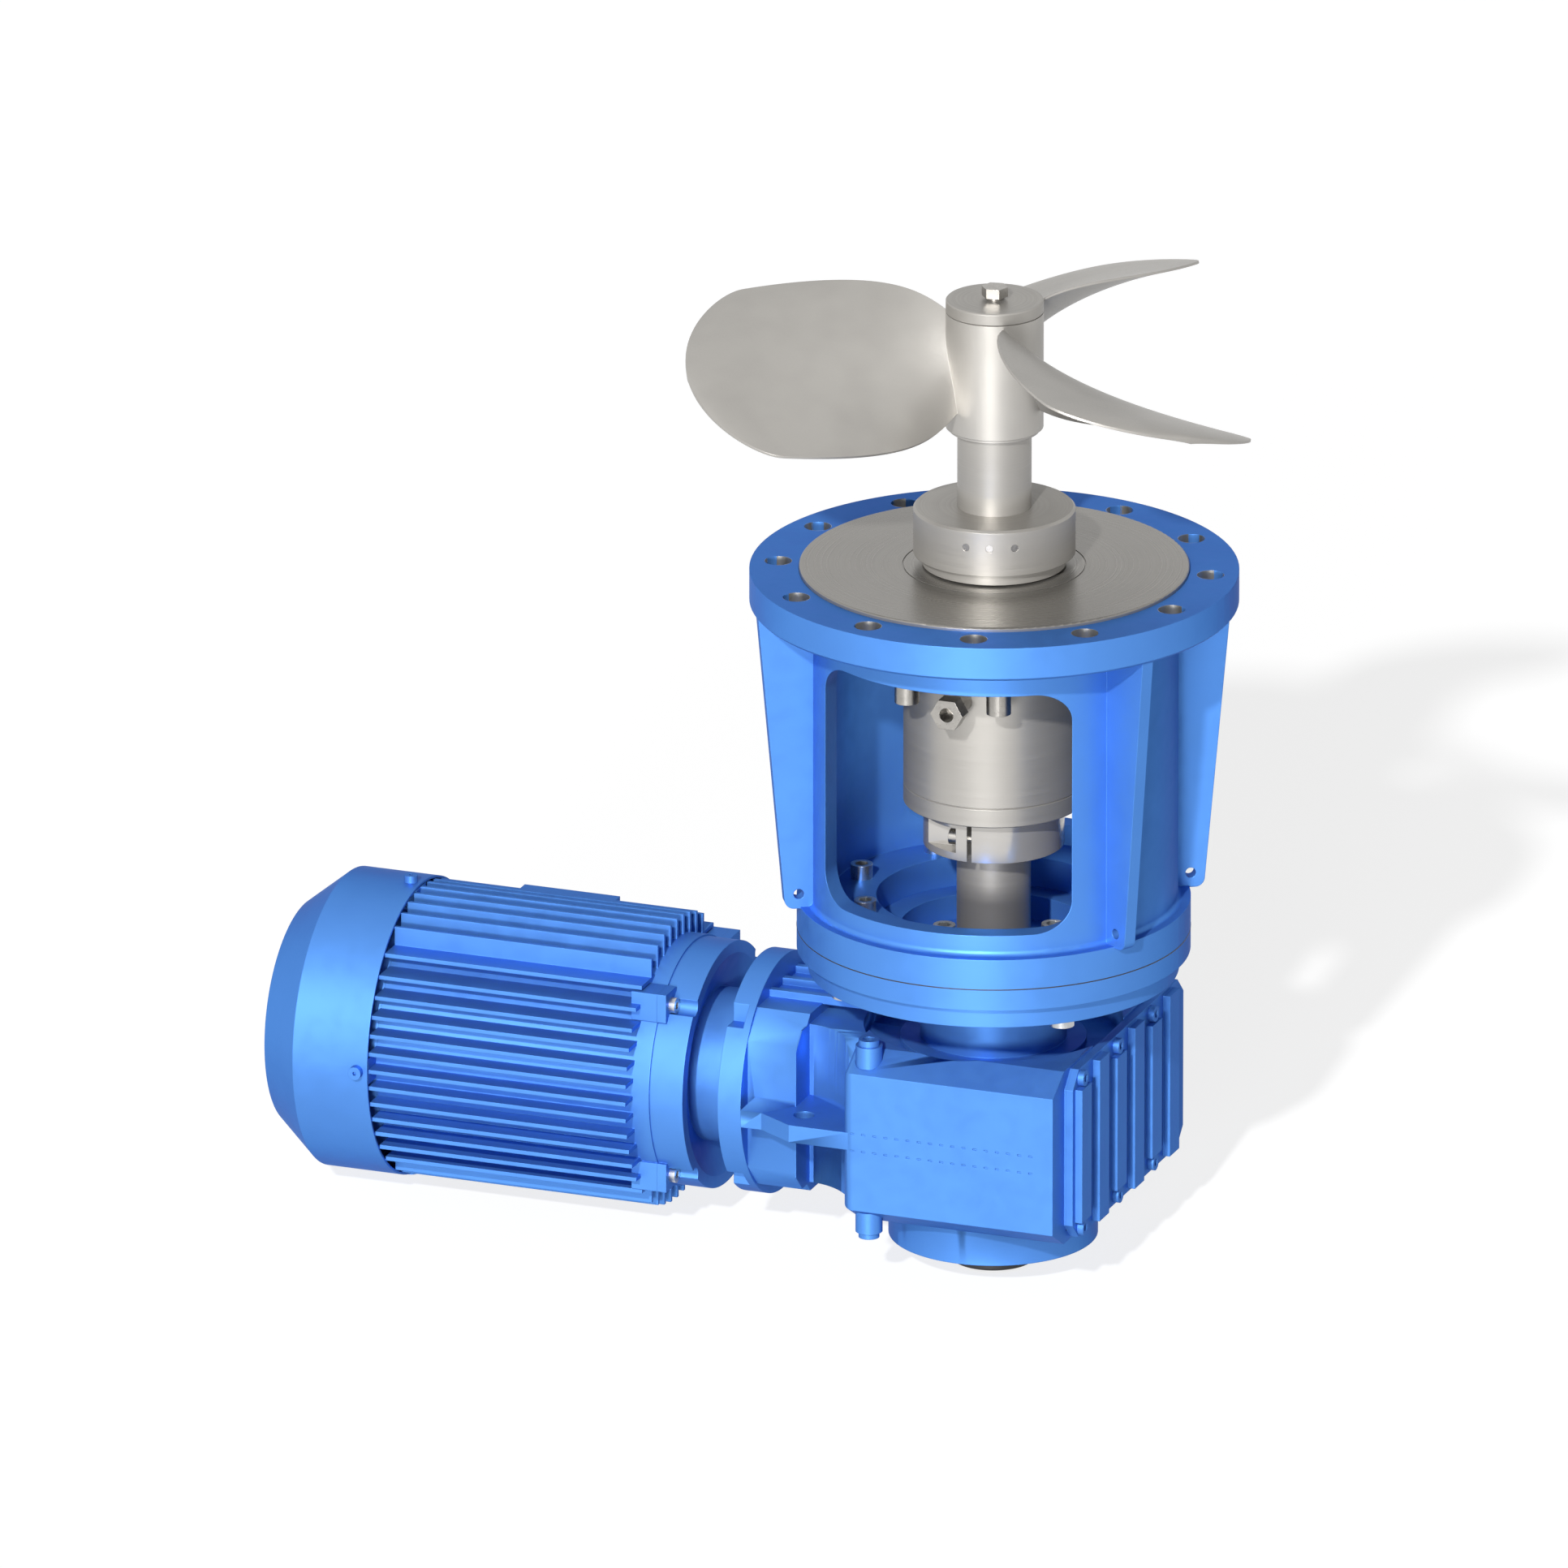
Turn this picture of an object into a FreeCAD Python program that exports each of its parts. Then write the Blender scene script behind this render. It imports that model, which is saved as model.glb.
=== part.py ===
import FreeCAD, Part
import math
import os
import re

import Sketcher
from FreeCAD import Placement, Rotation, Vector

# Bottom-entry agitator for a vessel nozzle of nominal width 250.
# Millimetres. The origin is the centre of the mounting flange's top face and +Z runs up the shaft
# into the vessel. The motor lies along -X.

doc = FreeCAD.newDocument("BottomEntryAgitator")
sheet = doc.addObject("Spreadsheet::Sheet", "Sizes")

SIZES = {
    # Mounting flange and lantern
    "flange_dia": 395,
    "flange_thick": 28,
    "flange_chamfer": 2,
    "bolt_circle": 350,
    "bolt_hole": 22,
    "lantern_dia": 298,
    "lantern_wall": 17,
    "window_width": 212,
    "window_top": 58,
    "window_bottom": 262,
    "window_corner": 25,
    "foot_top": 279,
    "foot_thick": 25.5,
    "foot_dia": 318.6,
    "foot_bore": 190,
    "foot_fillet": 4,
    "foot_screw_circle": 228,
    "foot_screw_dia": 12,
    "foot_head_dia": 18,
    "foot_head_high": 12,
    "rib_top_reach": 194,
    "rib_foot_reach": 171.5,
    "rib_thick": 11,
    "rib_drop": 280.4,
    "rib_corner": 8,
    "rib_hole": 8.5,
    "rib_hole_reach": 160.5,
    "rib_hole_drop": 268,
    # Seal plate and seal cartridge
    "plate_dia": 315,
    "plate_thick": 12,
    "plate_proud": 3.5,
    "plate_edge": 1.5,
    "plate_bore": 96,
    "plate_groove_dia": 146,
    "groove_wide": 1.2,
    "plate_tap": 8,
    "seat_gap": 0.3,
    "running_gap": 0.05,
    "cartridge_flange_dia": 236,
    "cartridge_flange_drop": 66,
    "cartridge_dia": 146.5,
    "cartridge_drop": 181,
    "cartridge_bore": 112,
    "cartridge_spigot_dia": 95,
    "spigot_wall": 5,
    "cartridge_roof": 12,
    "seal_space": 10,
    "gland_thick": 16,
    "gland_bore": 84,
    "gland_groove": 0.8,
    "cartridge_screw_circle": 206,
    "cartridge_screw_dia": 12,
    "cartridge_head_dia": 20,
    "cartridge_head_high": 22,
    "port_drop": 90,
    "port_hex": 24,
    "port_hex_long": 14,
    "port_reach": 110,
    "port_bore": 9,
    "port_step": 3,
    "port_sink": 4,
    "port_neck_dia": 16,
    "sleeve_dia": 76,
    "sleeve_top": 2,
    "face_thick": 12,
    "face_dia": 100,
    "spring_carrier_dia": 104,
    "spring_carrier_thick": 24,
    "spring_dia": 6,
    "spring_circle": 92,
    "spring_long": 12,
    "clamp_dia": 114.4,
    "clamp_top": 200,
    "clamp_high": 33,
    "clamp_slit": 4,
    "clamp_seat": 12,
    "clamp_deep": 39,
    "clamp_thread": 14,
    "clamp_screw_dia": 8,
    "clamp_head_dia": 13,
    "clamp_screw_reach": 46,
    # Agitator shaft, collar and propeller
    "shaft_dia": 60,
    "shaft_top": 214,
    "shaft_end": 583,
    "collar_dia": 131,
    "collar_foot": 15,
    "collar_top": 53.5,
    "collar_chamfer": 2,
    "collar_neck_dia": 116,
    "collar_neck_foot": 5,
    "grub_dia": 6,
    "grub_height": 38.5,
    "hub_dia": 79,
    "hub_foot": 118.3,
    "hub_top": 218.6,
    "hub_step": 3,
    "cap_high": 10.5,
    "cap_chamfer": 1,
    "cap_hex": 18.5,
    "cap_hex_high": 8,
    "cap_neck_dia": 13,
    "cap_neck_high": 2.5,
    "cap_thread_dia": 12,
    "cap_thread_deep": 24,
    "key_width": 18,
    "key_high": 11,
    "key_deep": 7,
    "hub_key_foot": 130,
    "hub_key_long": 70,
    "blade_reach": 250,
    "blade_count": 3,
    "blade_chord": 226,
    "blade_root_chord": 80,
    "blade_tip_chord": 8,
    "blade_mid": 215,
    "blade_thick": 5,
    "blade_root_thick": 13,
    "blade_edge": 2,
    "blade_root": 3,
    "blade_pitch": 458,
    "blade_camber": 0.02,
    "blade_height": 177,
    "blade_rake": -2,
    "blade_sweep": -4,
    "drive_key_foot": -545,
    "drive_key_long": 110,
    "grub_long": 34,
}
SIZES.update({
    # Adapter ring and gearbox
    "adapter_thick": 21,
    "adapter_gap": 3,
    "adapter_bore": 150,
    "output_flange_dia": 300,
    "output_flange_thick": 14.4,
    "output_screw_circle": 265,
    "output_screw_dia": 13.5,
    "neck_dia": 119,
    "neck_foot": 404,
    "neck_bore": 100,
    "dish_dia": 210,
    "axis_drop": 458.5,
    "motor_offset": 10,
    "box_front": 128.4,
    "box_back": 150,
    "box_front_half": 58.5,
    "box_half": 74,
    "box_slope": 26,
    "box_left": 83,
    "box_right": 98.8,
    "box_corner": 9,
    "box_wall": 9,
    "throat_front": 84,
    "throat_back": 132,
    "throat_half": 68,
    "block_left": 185,
    "block_right": 139,
    "block_half_wide": 83,
    "block_half_high": 76,
    "block_chamfer": 22,
    "strip_thick": 14.6,
    "strip_front": 112,
    "strip_left": 178,
    "strip_hole": 17,
    "boss_dia": 170,
    "boss_foot": 568,
    "end_cap_dia": 69.4,
    "end_cap_foot": 591,
    "end_cap_wall": 2.5,
    "plug_dia": 22,
    "plug_high": 18,
    "plug_collar_dia": 17,
    "plug_collar_high": 5,
    "plug_socket": 10,
    "plug_left": 65,
    "plug_front": 113,
    "cover_gasket": 1.5,
    "cover_plate": 6,
    "cover_left": 102,
    "cover_right": 156,
    "cover_half": 72,
    "cover_corner": 14,
    "cover_rib_high": 6,
    "cover_rib_wide": 22,
    "cover_rib_pitch": 41,
    "cover_rib_count": 6,
    "cover_screw_dia": 8,
    "cover_head_dia": 13,
    "cover_head_high": 5,
    "neck_step": 16,
    "neck_step_high": 5,
    "output_head_dia": 20,
    "output_head_high": 8,
    "box_chamfer": 14,
    "cavity_top": 44,
    "throat_room": 94,
    "throat_room_half": 50,
    "input_room_half": 34,
    "input_room_wide": 74,
    "input_room_deep": 21,
    "seat_ring": 7,
    "seat_foot": 35.5,
    "strip_root": 60,
    "strip_nose": 108,
    "strip_step": 18,
    "strip_hip": 129,
    "strip_hole_left": 126,
    "strip_hole_front": 100,
    "block_fin": 6,
    "block_fin_pitch": 30,
    "block_fin_high": 6,
    "plug_thread_dia": 16,
    "plug_deep": 10,
    "plug_sink": 5.8,
    "gasket_wide": 6,
    "cover_rib_start": 6,
    "cover_rib_end": 3,
    "cover_rib_cut": 12,
    "cover_screw_inset": 8,
    "bottom_cover_thick": 6.5,
    # Gear train
    "hollow_dia": 80,
    "output_module": 3.25,
    "output_teeth": 47,
    "counter_teeth": 19,
    "output_face": 26,
    "counter_face": 28,
    "output_mid_drop": 36,
    "bevel_module": 3,
    "bevel_teeth": 13,
    "wheel_teeth": 27,
    "bevel_face": 13,
    "input_module": 2,
    "pinion_teeth": 14,
    "helical_teeth": 28,
    "input_face": 18,
    "tooth_play": 0.12,
    "bevel_play": 0.3,
    "bevel_tip": 0.62,
    "counter_shaft_dia": 25,
    "bevel_shaft_dia": 20,
    "hollow_foot": 560.5,
    "hollow_top": 380,
    "seal_wide": 9,
    "output_bearing_dia": 110,
    "output_bearing_wide": 16,
    "small_bearing_dia": 52,
    "small_bearing_wide": 15,
    "pinion_bearing_dia": 42,
    "pinion_bearing_wide": 12,
    # Motor
    "input_disc_dia": 199,
    "input_disc_left": 204.9,
    "input_disc_right": 185,
    "neck_ring_dia": 126,
    "shield_dia": 203,
    "shield_right": 234.6,
    "shield_left": 263,
    "stator_left": 500,
    "stator_dia": 206,
    "fin_tip_dia": 240,
    "fin_thick": 3.4,
    "fin_pitch": 14.6,
    "fin_count": 9,
    "cowl_dia": 245.4,
    "cowl_wall": 2,
    "cowl_cone_left": 565,
    "cowl_left": 601,
    "cowl_end_dia": 186,
    "lug_size": 24,
    "lug_long": 22,
    "lug_circle": 206,
    "rotor_dia": 110,
    "air_gap": 0.4,
    "winding_dia": 168,
    "winding_long": 28,
    "shield_wall": 10,
    "shield_dish": 10,
    "shield_web": 8,
    "lug_plate": 8,
    "lug_screw_dia": 8,
    "lug_head_dia": 13,
    "lug_head_high": 5,
    "fin_inset": 0,
    "fin_end": 14,
    "top_pad_left": 433,
    "top_pad_long": 83,
    "top_pad_front": 20,
    "top_pad_back": 60,
    "top_pad_high": 110,
    "box_long": 110,
    "box_high": 96,
    "box_deep": 48,
    "terminal_foot": 112,
    "terminal_wall": 4,
    "lid_thick": 5,
    "lid_corner": 4,
    "lid_inset": 9,
    "lid_screw_dia": 5,
    "entry_dia": 25,
    "entry_head": 8,
    "input_disc_bore": 70,
    "notch_size": 16,
    "pinion_shaft_dia": 20,
    "pinion_seat_dia": 14,
    "fan_hub_dia": 50,
    "fan_plate": 4,
    "arm_wide": 22,
    "arm_gap": 0.9,
    "wheel_room_gap": 3,
    "grille_inner": 35,
    "grille_middle": 55,
    "grille_outer": 75,
    "grille_hole": 9,
    "cowl_screw_dia": 6,
    "cowl_head_dia": 11,
    "core_dia": 180,
    "core_long": 150,
    "core_mid": 375,
    "motor_shaft_dia": 28,
    "motor_bearing_dia": 62,
    "motor_bearing_wide": 16,
    "rear_shield_thick": 18,
    "fan_dia": 190,
    "fan_blades": 7,
    "fan_left": 572,
    "fan_right": 528,
})

for row, (alias, value) in enumerate(SIZES.items(), start=1):
    sheet.set(f"A{row}", alias.replace("_", " "))
    sheet.set(f"B{row}", str(value))
    sheet.setAlias(f"B{row}", alias)
doc.recompute()


def size(expression):
    """Return the number that an expression of sheet aliases stands for."""
    return float(sheet.evalExpression(str(expression)))


def bound(expression):
    """Return an expression of aliases as other objects of the document write it."""
    return re.sub(r"\b([a-z]+(?:_[a-z]+)+)\b", r"Sizes.\1", str(expression))


def place(piece, at=(0, 0, 0), turn=None):
    """Bind a piece's position to the sheet and set its rotation."""
    piece.Placement = Placement(Vector(*[size(value) for value in at]), turn or Rotation())
    for letter, value in zip("xyz", at):
        piece.setExpression(f".Placement.Base.{letter}", bound(value))
    return piece


def body(label):
    """Return a new, empty body."""
    piece = doc.addObject("PartDesign::Body", label)
    piece.Label = label
    return piece


def origin_feature(piece, role):
    """Return an origin plane or axis of a body by its role."""
    return next(item for item in piece.Origin.OriginFeatures if item.Role == role)


def sketch_on(piece, name, plane="XY_Plane", lift="0", swing=0):
    """Return a sketch on a body's origin plane, lifted off it and swung about its own upright axis."""
    sketch = piece.newObject("Sketcher::SketchObject", f"{piece.Name}_{name}")
    sketch.AttachmentSupport = [(origin_feature(piece, plane), "")]
    sketch.MapMode = "FlatFace"
    across = f"({lift}) * sin({swing})"
    away = f"({lift}) * cos({swing})"
    sketch.AttachmentOffset = Placement(Vector(size(across), 0, size(away)),
                                        Rotation(Vector(0, 1, 0), swing))
    sketch.setExpression(".AttachmentOffset.Base.x", bound(across))
    sketch.setExpression(".AttachmentOffset.Base.z", bound(away))
    return sketch


def hold(sketch, kind, *arguments):
    """Add a dimension to a sketch and bind it to the sheet."""
    expression = arguments[-1]
    index = sketch.addConstraint(Sketcher.Constraint(kind, *arguments[:-1], size(expression)))
    sketch.setExpression(f"Constraints[{index}]", bound(expression))


def outline(sketch, corners):
    """Draw a closed outline through corners given as pairs of expressions."""
    points = [Vector(size(across), size(along), 0) for across, along in corners]
    first = sketch.GeometryCount
    for index, point in enumerate(points):
        after = points[(index + 1) % len(points)]
        sketch.addGeometry(Part.LineSegment(point, after), False)
    for index, (across, along) in enumerate(corners):
        line = first + index
        before = first + (index - 1) % len(corners)
        sketch.addConstraint(Sketcher.Constraint("Coincident", before, 2, line, 1))
        hold(sketch, "DistanceX", -1, 1, line, 1, across)
        hold(sketch, "DistanceY", -1, 1, line, 1, along)


def disc(sketch, across, along, diameter):
    """Draw a circle."""
    centre = Vector(size(across), size(along), 0)
    index = sketch.addGeometry(Part.Circle(centre, Vector(0, 0, 1), size(diameter) / 2), False)
    hold(sketch, "Diameter", index, diameter)
    hold(sketch, "DistanceX", -1, 1, index, 3, across)
    hold(sketch, "DistanceY", -1, 1, index, 3, along)


def feature(piece, kind, sketch, **values):
    """Add a sketch feature to a body, its sizes bound where they are expressions."""
    item = piece.newObject(f"PartDesign::{kind}", f"{sketch.Name}_{kind}")
    item.Profile = sketch
    for name, value in values.items():
        if isinstance(value, str) and name in ("Length", "Length2"):
            setattr(item, name, size(value))
            item.setExpression(name, bound(value))
        else:
            setattr(item, name, value)
    return item


def pad(piece, sketch, length, midplane=False, reverse=False):
    """Raise a sketch into a solid."""
    return feature(piece, "Pad", sketch, Length=str(length), Midplane=midplane, Reversed=reverse)


def pocket(piece, sketch, length=None, both=False, reverse=False):
    """Cut a sketch into the body, to a length or through all of it."""
    kind = "Length" if length else "ThroughAll"
    return feature(piece, "Pocket", sketch, Type=kind, Length=str(length or 1), Midplane=both,
                   Reversed=reverse)


def turned(label, corners, at=(0, 0, 0), turn=None, piece=None, cut=False):
    """Revolve a half profile of radius and height pairs about the body's Z axis."""
    piece = piece or body(label)
    sketch = sketch_on(piece, f"turn{len(piece.Group)}", "XZ_Plane")
    outline(sketch, corners)
    kind = "Groove" if cut else "Revolution"
    item = feature(piece, kind, sketch, Angle=360)
    item.ReferenceAxis = (sketch, ["V_Axis"])
    return place(piece, at, turn) if not cut else item


def ring(label, outer, inner, foot, top, at=(0, 0, 0), turn=None):
    """Turn a plain ring from two diameters and two heights."""
    return turned(label, [(f"({inner}) / 2", foot), (f"({outer}) / 2", foot),
                          (f"({outer}) / 2", top), (f"({inner}) / 2", top)], at, turn)


def rod(label, steps, at=(0, 0, 0), turn=None):
    """Turn a stepped solid rod from pairs of a diameter and the height where it ends."""
    corners = [("0", steps[0][1])]
    for (_, start), (diameter, end) in zip(steps, steps[1:]):
        corners += [(f"({diameter}) / 2", start), (f"({diameter}) / 2", end)]
    return turned(label, corners + [("0", steps[-1][1])], at, turn)


def soften(piece, kind, amount, wanted):
    """Round or bevel the edges of the body's tip that the given test picks."""
    doc.recompute()
    tip = piece.Tip
    names = [f"Edge{index}" for index, edge in enumerate(tip.Shape.Edges, start=1) if wanted(edge)]
    item = piece.newObject(f"PartDesign::{kind}", f"{piece.Name}_{kind}{len(piece.Group)}")
    item.Base = (tip, names)
    name = "Radius" if kind == "Fillet" else "Size"
    setattr(item, name, size(amount))
    item.setExpression(name, bound(amount))
    return item


def is_circle(edge, radius, height=None):
    """Tell whether an edge is a circle about Z of a radius, at a height where one is given."""
    curve = edge.Curve
    if not hasattr(curve, "Radius") or abs(abs(curve.Axis.z) - 1) > 1e-6:
        return False
    level = height is None or abs(curve.Center.z - size(height)) < 0.01
    return level and abs(curve.Radius - size(radius)) < 0.01


def around(count, start=0):
    """Return equally spaced angles in degrees."""
    return [start + 360 * index / count for index in range(count)]


def holes(piece, name, circle, count, diameter, start=0, plane="XY_Plane", length=None,
          lift="0", reverse=False):
    """Cut round holes on a circle."""
    sketch = sketch_on(piece, name, plane, lift)
    for angle in around(count, start):
        disc(sketch, f"({circle}) / 2 * cos({angle})", f"({circle}) / 2 * sin({angle})", diameter)
    return pocket(piece, sketch, length, both=length is None, reverse=reverse)


def group(label, master, spots):
    """Repeat one master piece at several placements as a group of separate solids."""
    copies = []
    for index, (at, turn) in enumerate(spots, start=1):
        copy = doc.addObject("App::Link", f"{label}_copy{index}")
        copy.LinkedObject = master
        copy.LinkTransform = False
        copies.append(place(copy, at, turn))
    whole = doc.addObject("Part::Compound", label)
    whole.Label = label
    whole.Links = copies
    return whole


def together(label, *items):
    """List several pieces of one kind as one group of separate solids."""
    whole = doc.addObject("Part::Compound", label)
    whole.Label = label
    whole.Links = list(items)
    return whole


def ring_spots(circle, count, lift, start=0, turn=None):
    """Return placements on a circle about Z, each turned to its own angle."""
    spots = []
    for angle in around(count, start):
        at = (f"({circle}) / 2 * cos({angle})", f"({circle}) / 2 * sin({angle})", lift)
        spots.append((at, Rotation(Vector(0, 0, 1), angle) * (turn or Rotation())))
    return spots


TO_X = Rotation(Vector(0, 1, 0), 90)
DOWN = Rotation(Vector(1, 0, 0), 180)
pieces = []
outer_rings = []


def keep(*items):
    """List pieces that are written out."""
    pieces.extend(items)


def make_lantern():
    """Cast lantern: mounting flange, windowed wall, ribs and foot ring."""
    part = body("lantern")
    recess = "plate_dia / 2 + seat_gap / 2"
    ledge = "-(plate_thick - plate_proud)"
    wall = "lantern_dia / 2 - lantern_wall"
    turned("lantern", [
        (recess, "0"), ("flange_dia / 2", "0"), ("flange_dia / 2", "-flange_thick"),
        ("lantern_dia / 2", "-flange_thick"), ("lantern_dia / 2", "-foot_top"),
        ("foot_dia / 2", "-foot_top"), ("foot_dia / 2", "-foot_top - foot_thick"),
        ("foot_bore / 2", "-foot_top - foot_thick"), ("foot_bore / 2", "-foot_top"),
        (wall, "-foot_top"), (wall, ledge), (recess, ledge)], piece=part)
    windows = sketch_on(part, "windows", "XZ_Plane")
    outline(windows, [
        ("-window_width / 2", "-window_bottom"), ("window_width / 2", "-window_bottom"),
        ("window_width / 2", "-window_top"), ("-window_width / 2", "-window_top")])
    pocket(part, windows, both=True)
    reach = size("window_width / 2")
    heights = (-size("window_top"), -size("window_bottom"))
    soften(part, "Fillet", "window_corner", lambda edge: len(edge.Vertexes) == 2 and all(
        abs(abs(point.X) - reach) < 0.01 and min(abs(point.Z - z) for z in heights) < 0.01
        for point in edge.Vertexes) and abs(edge.Length - abs(
            edge.Vertexes[0].Y - edge.Vertexes[1].Y)) < 0.01)
    root = "lantern_dia / 2 - lantern_wall / 2"
    for index, angle in enumerate((30, 150, 210, 330), start=1):
        rib = sketch_on(part, f"rib{index}", "XZ_Plane", swing=angle)
        outline(rib, [(root, "-flange_thick + 1"), ("rib_top_reach", "-flange_thick + 1"),
                      ("rib_foot_reach", "-rib_drop"), (root, "-rib_drop")])
        pad(part, rib, "rib_thick", midplane=True)
    low = -size("rib_drop")
    far = size("rib_foot_reach")
    soften(part, "Fillet", "rib_corner", lambda edge: abs(edge.Length - size("rib_thick")) < 0.01
           and all(abs(point.Z - low) < 0.01 and abs(math.hypot(point.X, point.Y) - far) < 2
                   for point in edge.Vertexes))
    for index, angle in enumerate((30, 150, 210, 330), start=1):
        hole = sketch_on(part, f"rib_hole{index}", "XZ_Plane", swing=angle)
        disc(hole, "rib_hole_reach", "-rib_hole_drop", "rib_hole")
        pocket(part, hole, "rib_thick * 3", both=True)
    soften(part, "Fillet", "foot_fillet", lambda edge: is_circle(
        edge, "lantern_dia / 2", "-foot_top"))
    soften(part, "Chamfer", "flange_chamfer", lambda edge: is_circle(
        edge, "flange_dia / 2", "-flange_thick"))
    holes(part, "bolt_holes", "bolt_circle", 12, "bolt_hole", start=15, length="flange_thick + 1")
    holes(part, "foot_holes", "foot_screw_circle", 8, "foot_screw_dia + seat_gap", start=0,
          lift="-foot_top", length="foot_thick + 1")
    return part


def make_screw(label, shank, head, head_high, long, socket):
    """Cylinder-head screw with a hexagon socket, head up, its seat at height zero."""
    part = rod(label, [("0", f"-({long})"), (shank, "0"), (head, head_high)])
    hexagon = sketch_on(part, "socket", "XY_Plane", head_high)
    outline(hexagon, [(f"({socket}) / sqrt(3) * cos({angle})", f"({socket}) / sqrt(3) * sin({angle})")
                      for angle in around(6)])
    pocket(part, hexagon, f"({head_high}) * 0.55")
    return part


def make_seal_plate():
    """Stainless disc that closes the vessel opening."""
    part = body("seal_plate")
    foot = "-(plate_thick - plate_proud)"
    groove = "plate_groove_dia / 2"
    turned("seal_plate", [
        ("plate_bore / 2", foot), ("plate_dia / 2", foot), ("plate_dia / 2", "plate_proud"),
        (f"{groove} + groove_wide", "plate_proud"), (f"{groove} + groove_wide", "plate_proud - 1"),
        (groove, "plate_proud - 1"), (groove, "plate_proud"), ("plate_bore / 2", "plate_proud")],
        piece=part)
    soften(part, "Fillet", "plate_edge", lambda edge: is_circle(
        edge, "plate_dia / 2", "plate_proud"))
    holes(part, "tapped_holes", "cartridge_screw_circle", 8, "cartridge_screw_dia", start=22.5,
          lift=foot, length="plate_tap", reverse=True)
    return part


def make_seal_cartridge():
    """Stationary and rotating pieces of the mechanical seal under the plate."""
    under = "-(plate_thick - plate_proud)"
    flange_foot = "-cartridge_flange_drop"
    foot = "-cartridge_drop"
    bore = "cartridge_bore / 2"
    housing = body("seal_housing")
    turned("seal_housing", [
        ("cartridge_spigot_dia / 2 - spigot_wall", "0"), ("cartridge_spigot_dia / 2", "0"),
        ("cartridge_spigot_dia / 2", under), ("cartridge_flange_dia / 2", under),
        ("cartridge_flange_dia / 2", flange_foot), ("cartridge_dia / 2", flange_foot),
        ("cartridge_dia / 2", foot), (bore, foot), (bore, f"{under} - cartridge_roof"),
        ("cartridge_spigot_dia / 2 - spigot_wall", f"{under} - cartridge_roof")], piece=housing)
    holes(housing, "screw_holes", "cartridge_screw_circle", 8, "cartridge_screw_dia + seat_gap",
          start=22.5, lift=under, length="cartridge_flange_drop")
    port = sketch_on(housing, "port", "XZ_Plane")
    disc(port, "0", "-port_drop", "port_bore")
    pocket(housing, port, "cartridge_dia", reverse=True)
    soften(housing, "Chamfer", "gland_groove", lambda edge: is_circle(
        edge, "cartridge_dia / 2", "-cartridge_drop"))

    head = make_screw("cartridge_screw", "cartridge_screw_dia", "cartridge_head_dia",
                      "cartridge_head_high",
                      "cartridge_flange_drop - plate_thick + plate_proud + plate_tap - 1", "10")
    screws = group("seal_housing_screws", head, ring_spots(
        "cartridge_screw_circle", 8, flange_foot, 22.5, DOWN))

    nipple = rod("flush_port_nipple", [
        ("0", "cartridge_dia / 2 - port_sink"), ("port_neck_dia", "port_reach - port_hex_long"),
        ("port_hex", "port_reach")], at=("0", "0", "-port_drop"),
        turn=Rotation(Vector(1, 0, 0), 90))
    hexagon = sketch_on(nipple, "hexagon", "XY_Plane", "port_reach")
    outline(hexagon, [(f"port_hex / sqrt(3) * cos({angle})", f"port_hex / sqrt(3) * sin({angle})")
                      for angle in around(6)])
    pad(nipple, hexagon, "port_hex_long", reverse=True)
    bore_sketch = sketch_on(nipple, "bore", "XY_Plane", "port_reach")
    disc(bore_sketch, "0", "0", "port_bore + port_step")
    pocket(nipple, bore_sketch, "port_hex_long + 6")
    through = sketch_on(nipple, "through", "XY_Plane", "port_reach")
    disc(through, "0", "0", "port_bore")
    pocket(nipple, through)
    seat = sketch_on(housing, "port_seat", "XZ_Plane", "cartridge_dia / 2")
    disc(seat, "0", "-port_drop", "port_neck_dia")
    pocket(housing, seat, "port_sink")

    gland = turned("gland_ring", [
        ("gland_bore / 2", "-cartridge_drop - gland_thick"),
        ("cartridge_dia / 2", "-cartridge_drop - gland_thick"),
        ("cartridge_dia / 2", foot), ("gland_bore / 2", foot)])
    soften(gland, "Chamfer", "gland_groove", lambda edge: is_circle(edge, "cartridge_dia / 2"))

    sleeve = ring("seal_sleeve", "sleeve_dia", "shaft_dia", "-clamp_top - clamp_high - 3",
                  "sleeve_top")
    carrier_top = f"{under} - cartridge_roof - seal_space - face_thick * 2"
    rotating = [
        ring("rotating_seal_face", "face_dia", "sleeve_dia", carrier_top,
             f"{carrier_top} + face_thick"),
        ring("spring_carrier", "spring_carrier_dia", "sleeve_dia",
             f"{carrier_top} - spring_long - spring_carrier_thick", f"{carrier_top} - spring_long")]
    spring = rod("spring", [("0", "0"), ("spring_dia", "spring_long")])
    springs = group("seal_springs", spring, ring_spots(
        "spring_circle", 8, f"{carrier_top} - spring_long"))
    still = ring("stationary_seal_face", "cartridge_bore - seat_gap", "sleeve_dia + 3",
                 f"{carrier_top} + face_thick + running_gap",
                 f"{carrier_top} + face_thick * 2")
    lower = ring("lower_seal_ring", "cartridge_bore - seat_gap", "sleeve_dia + running_gap * 2",
                 foot, f"{foot} + face_thick")
    keep(housing, screws, nipple, gland, sleeve, *rotating, springs,
         together("stationary_seal_faces", still, lower))


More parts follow.
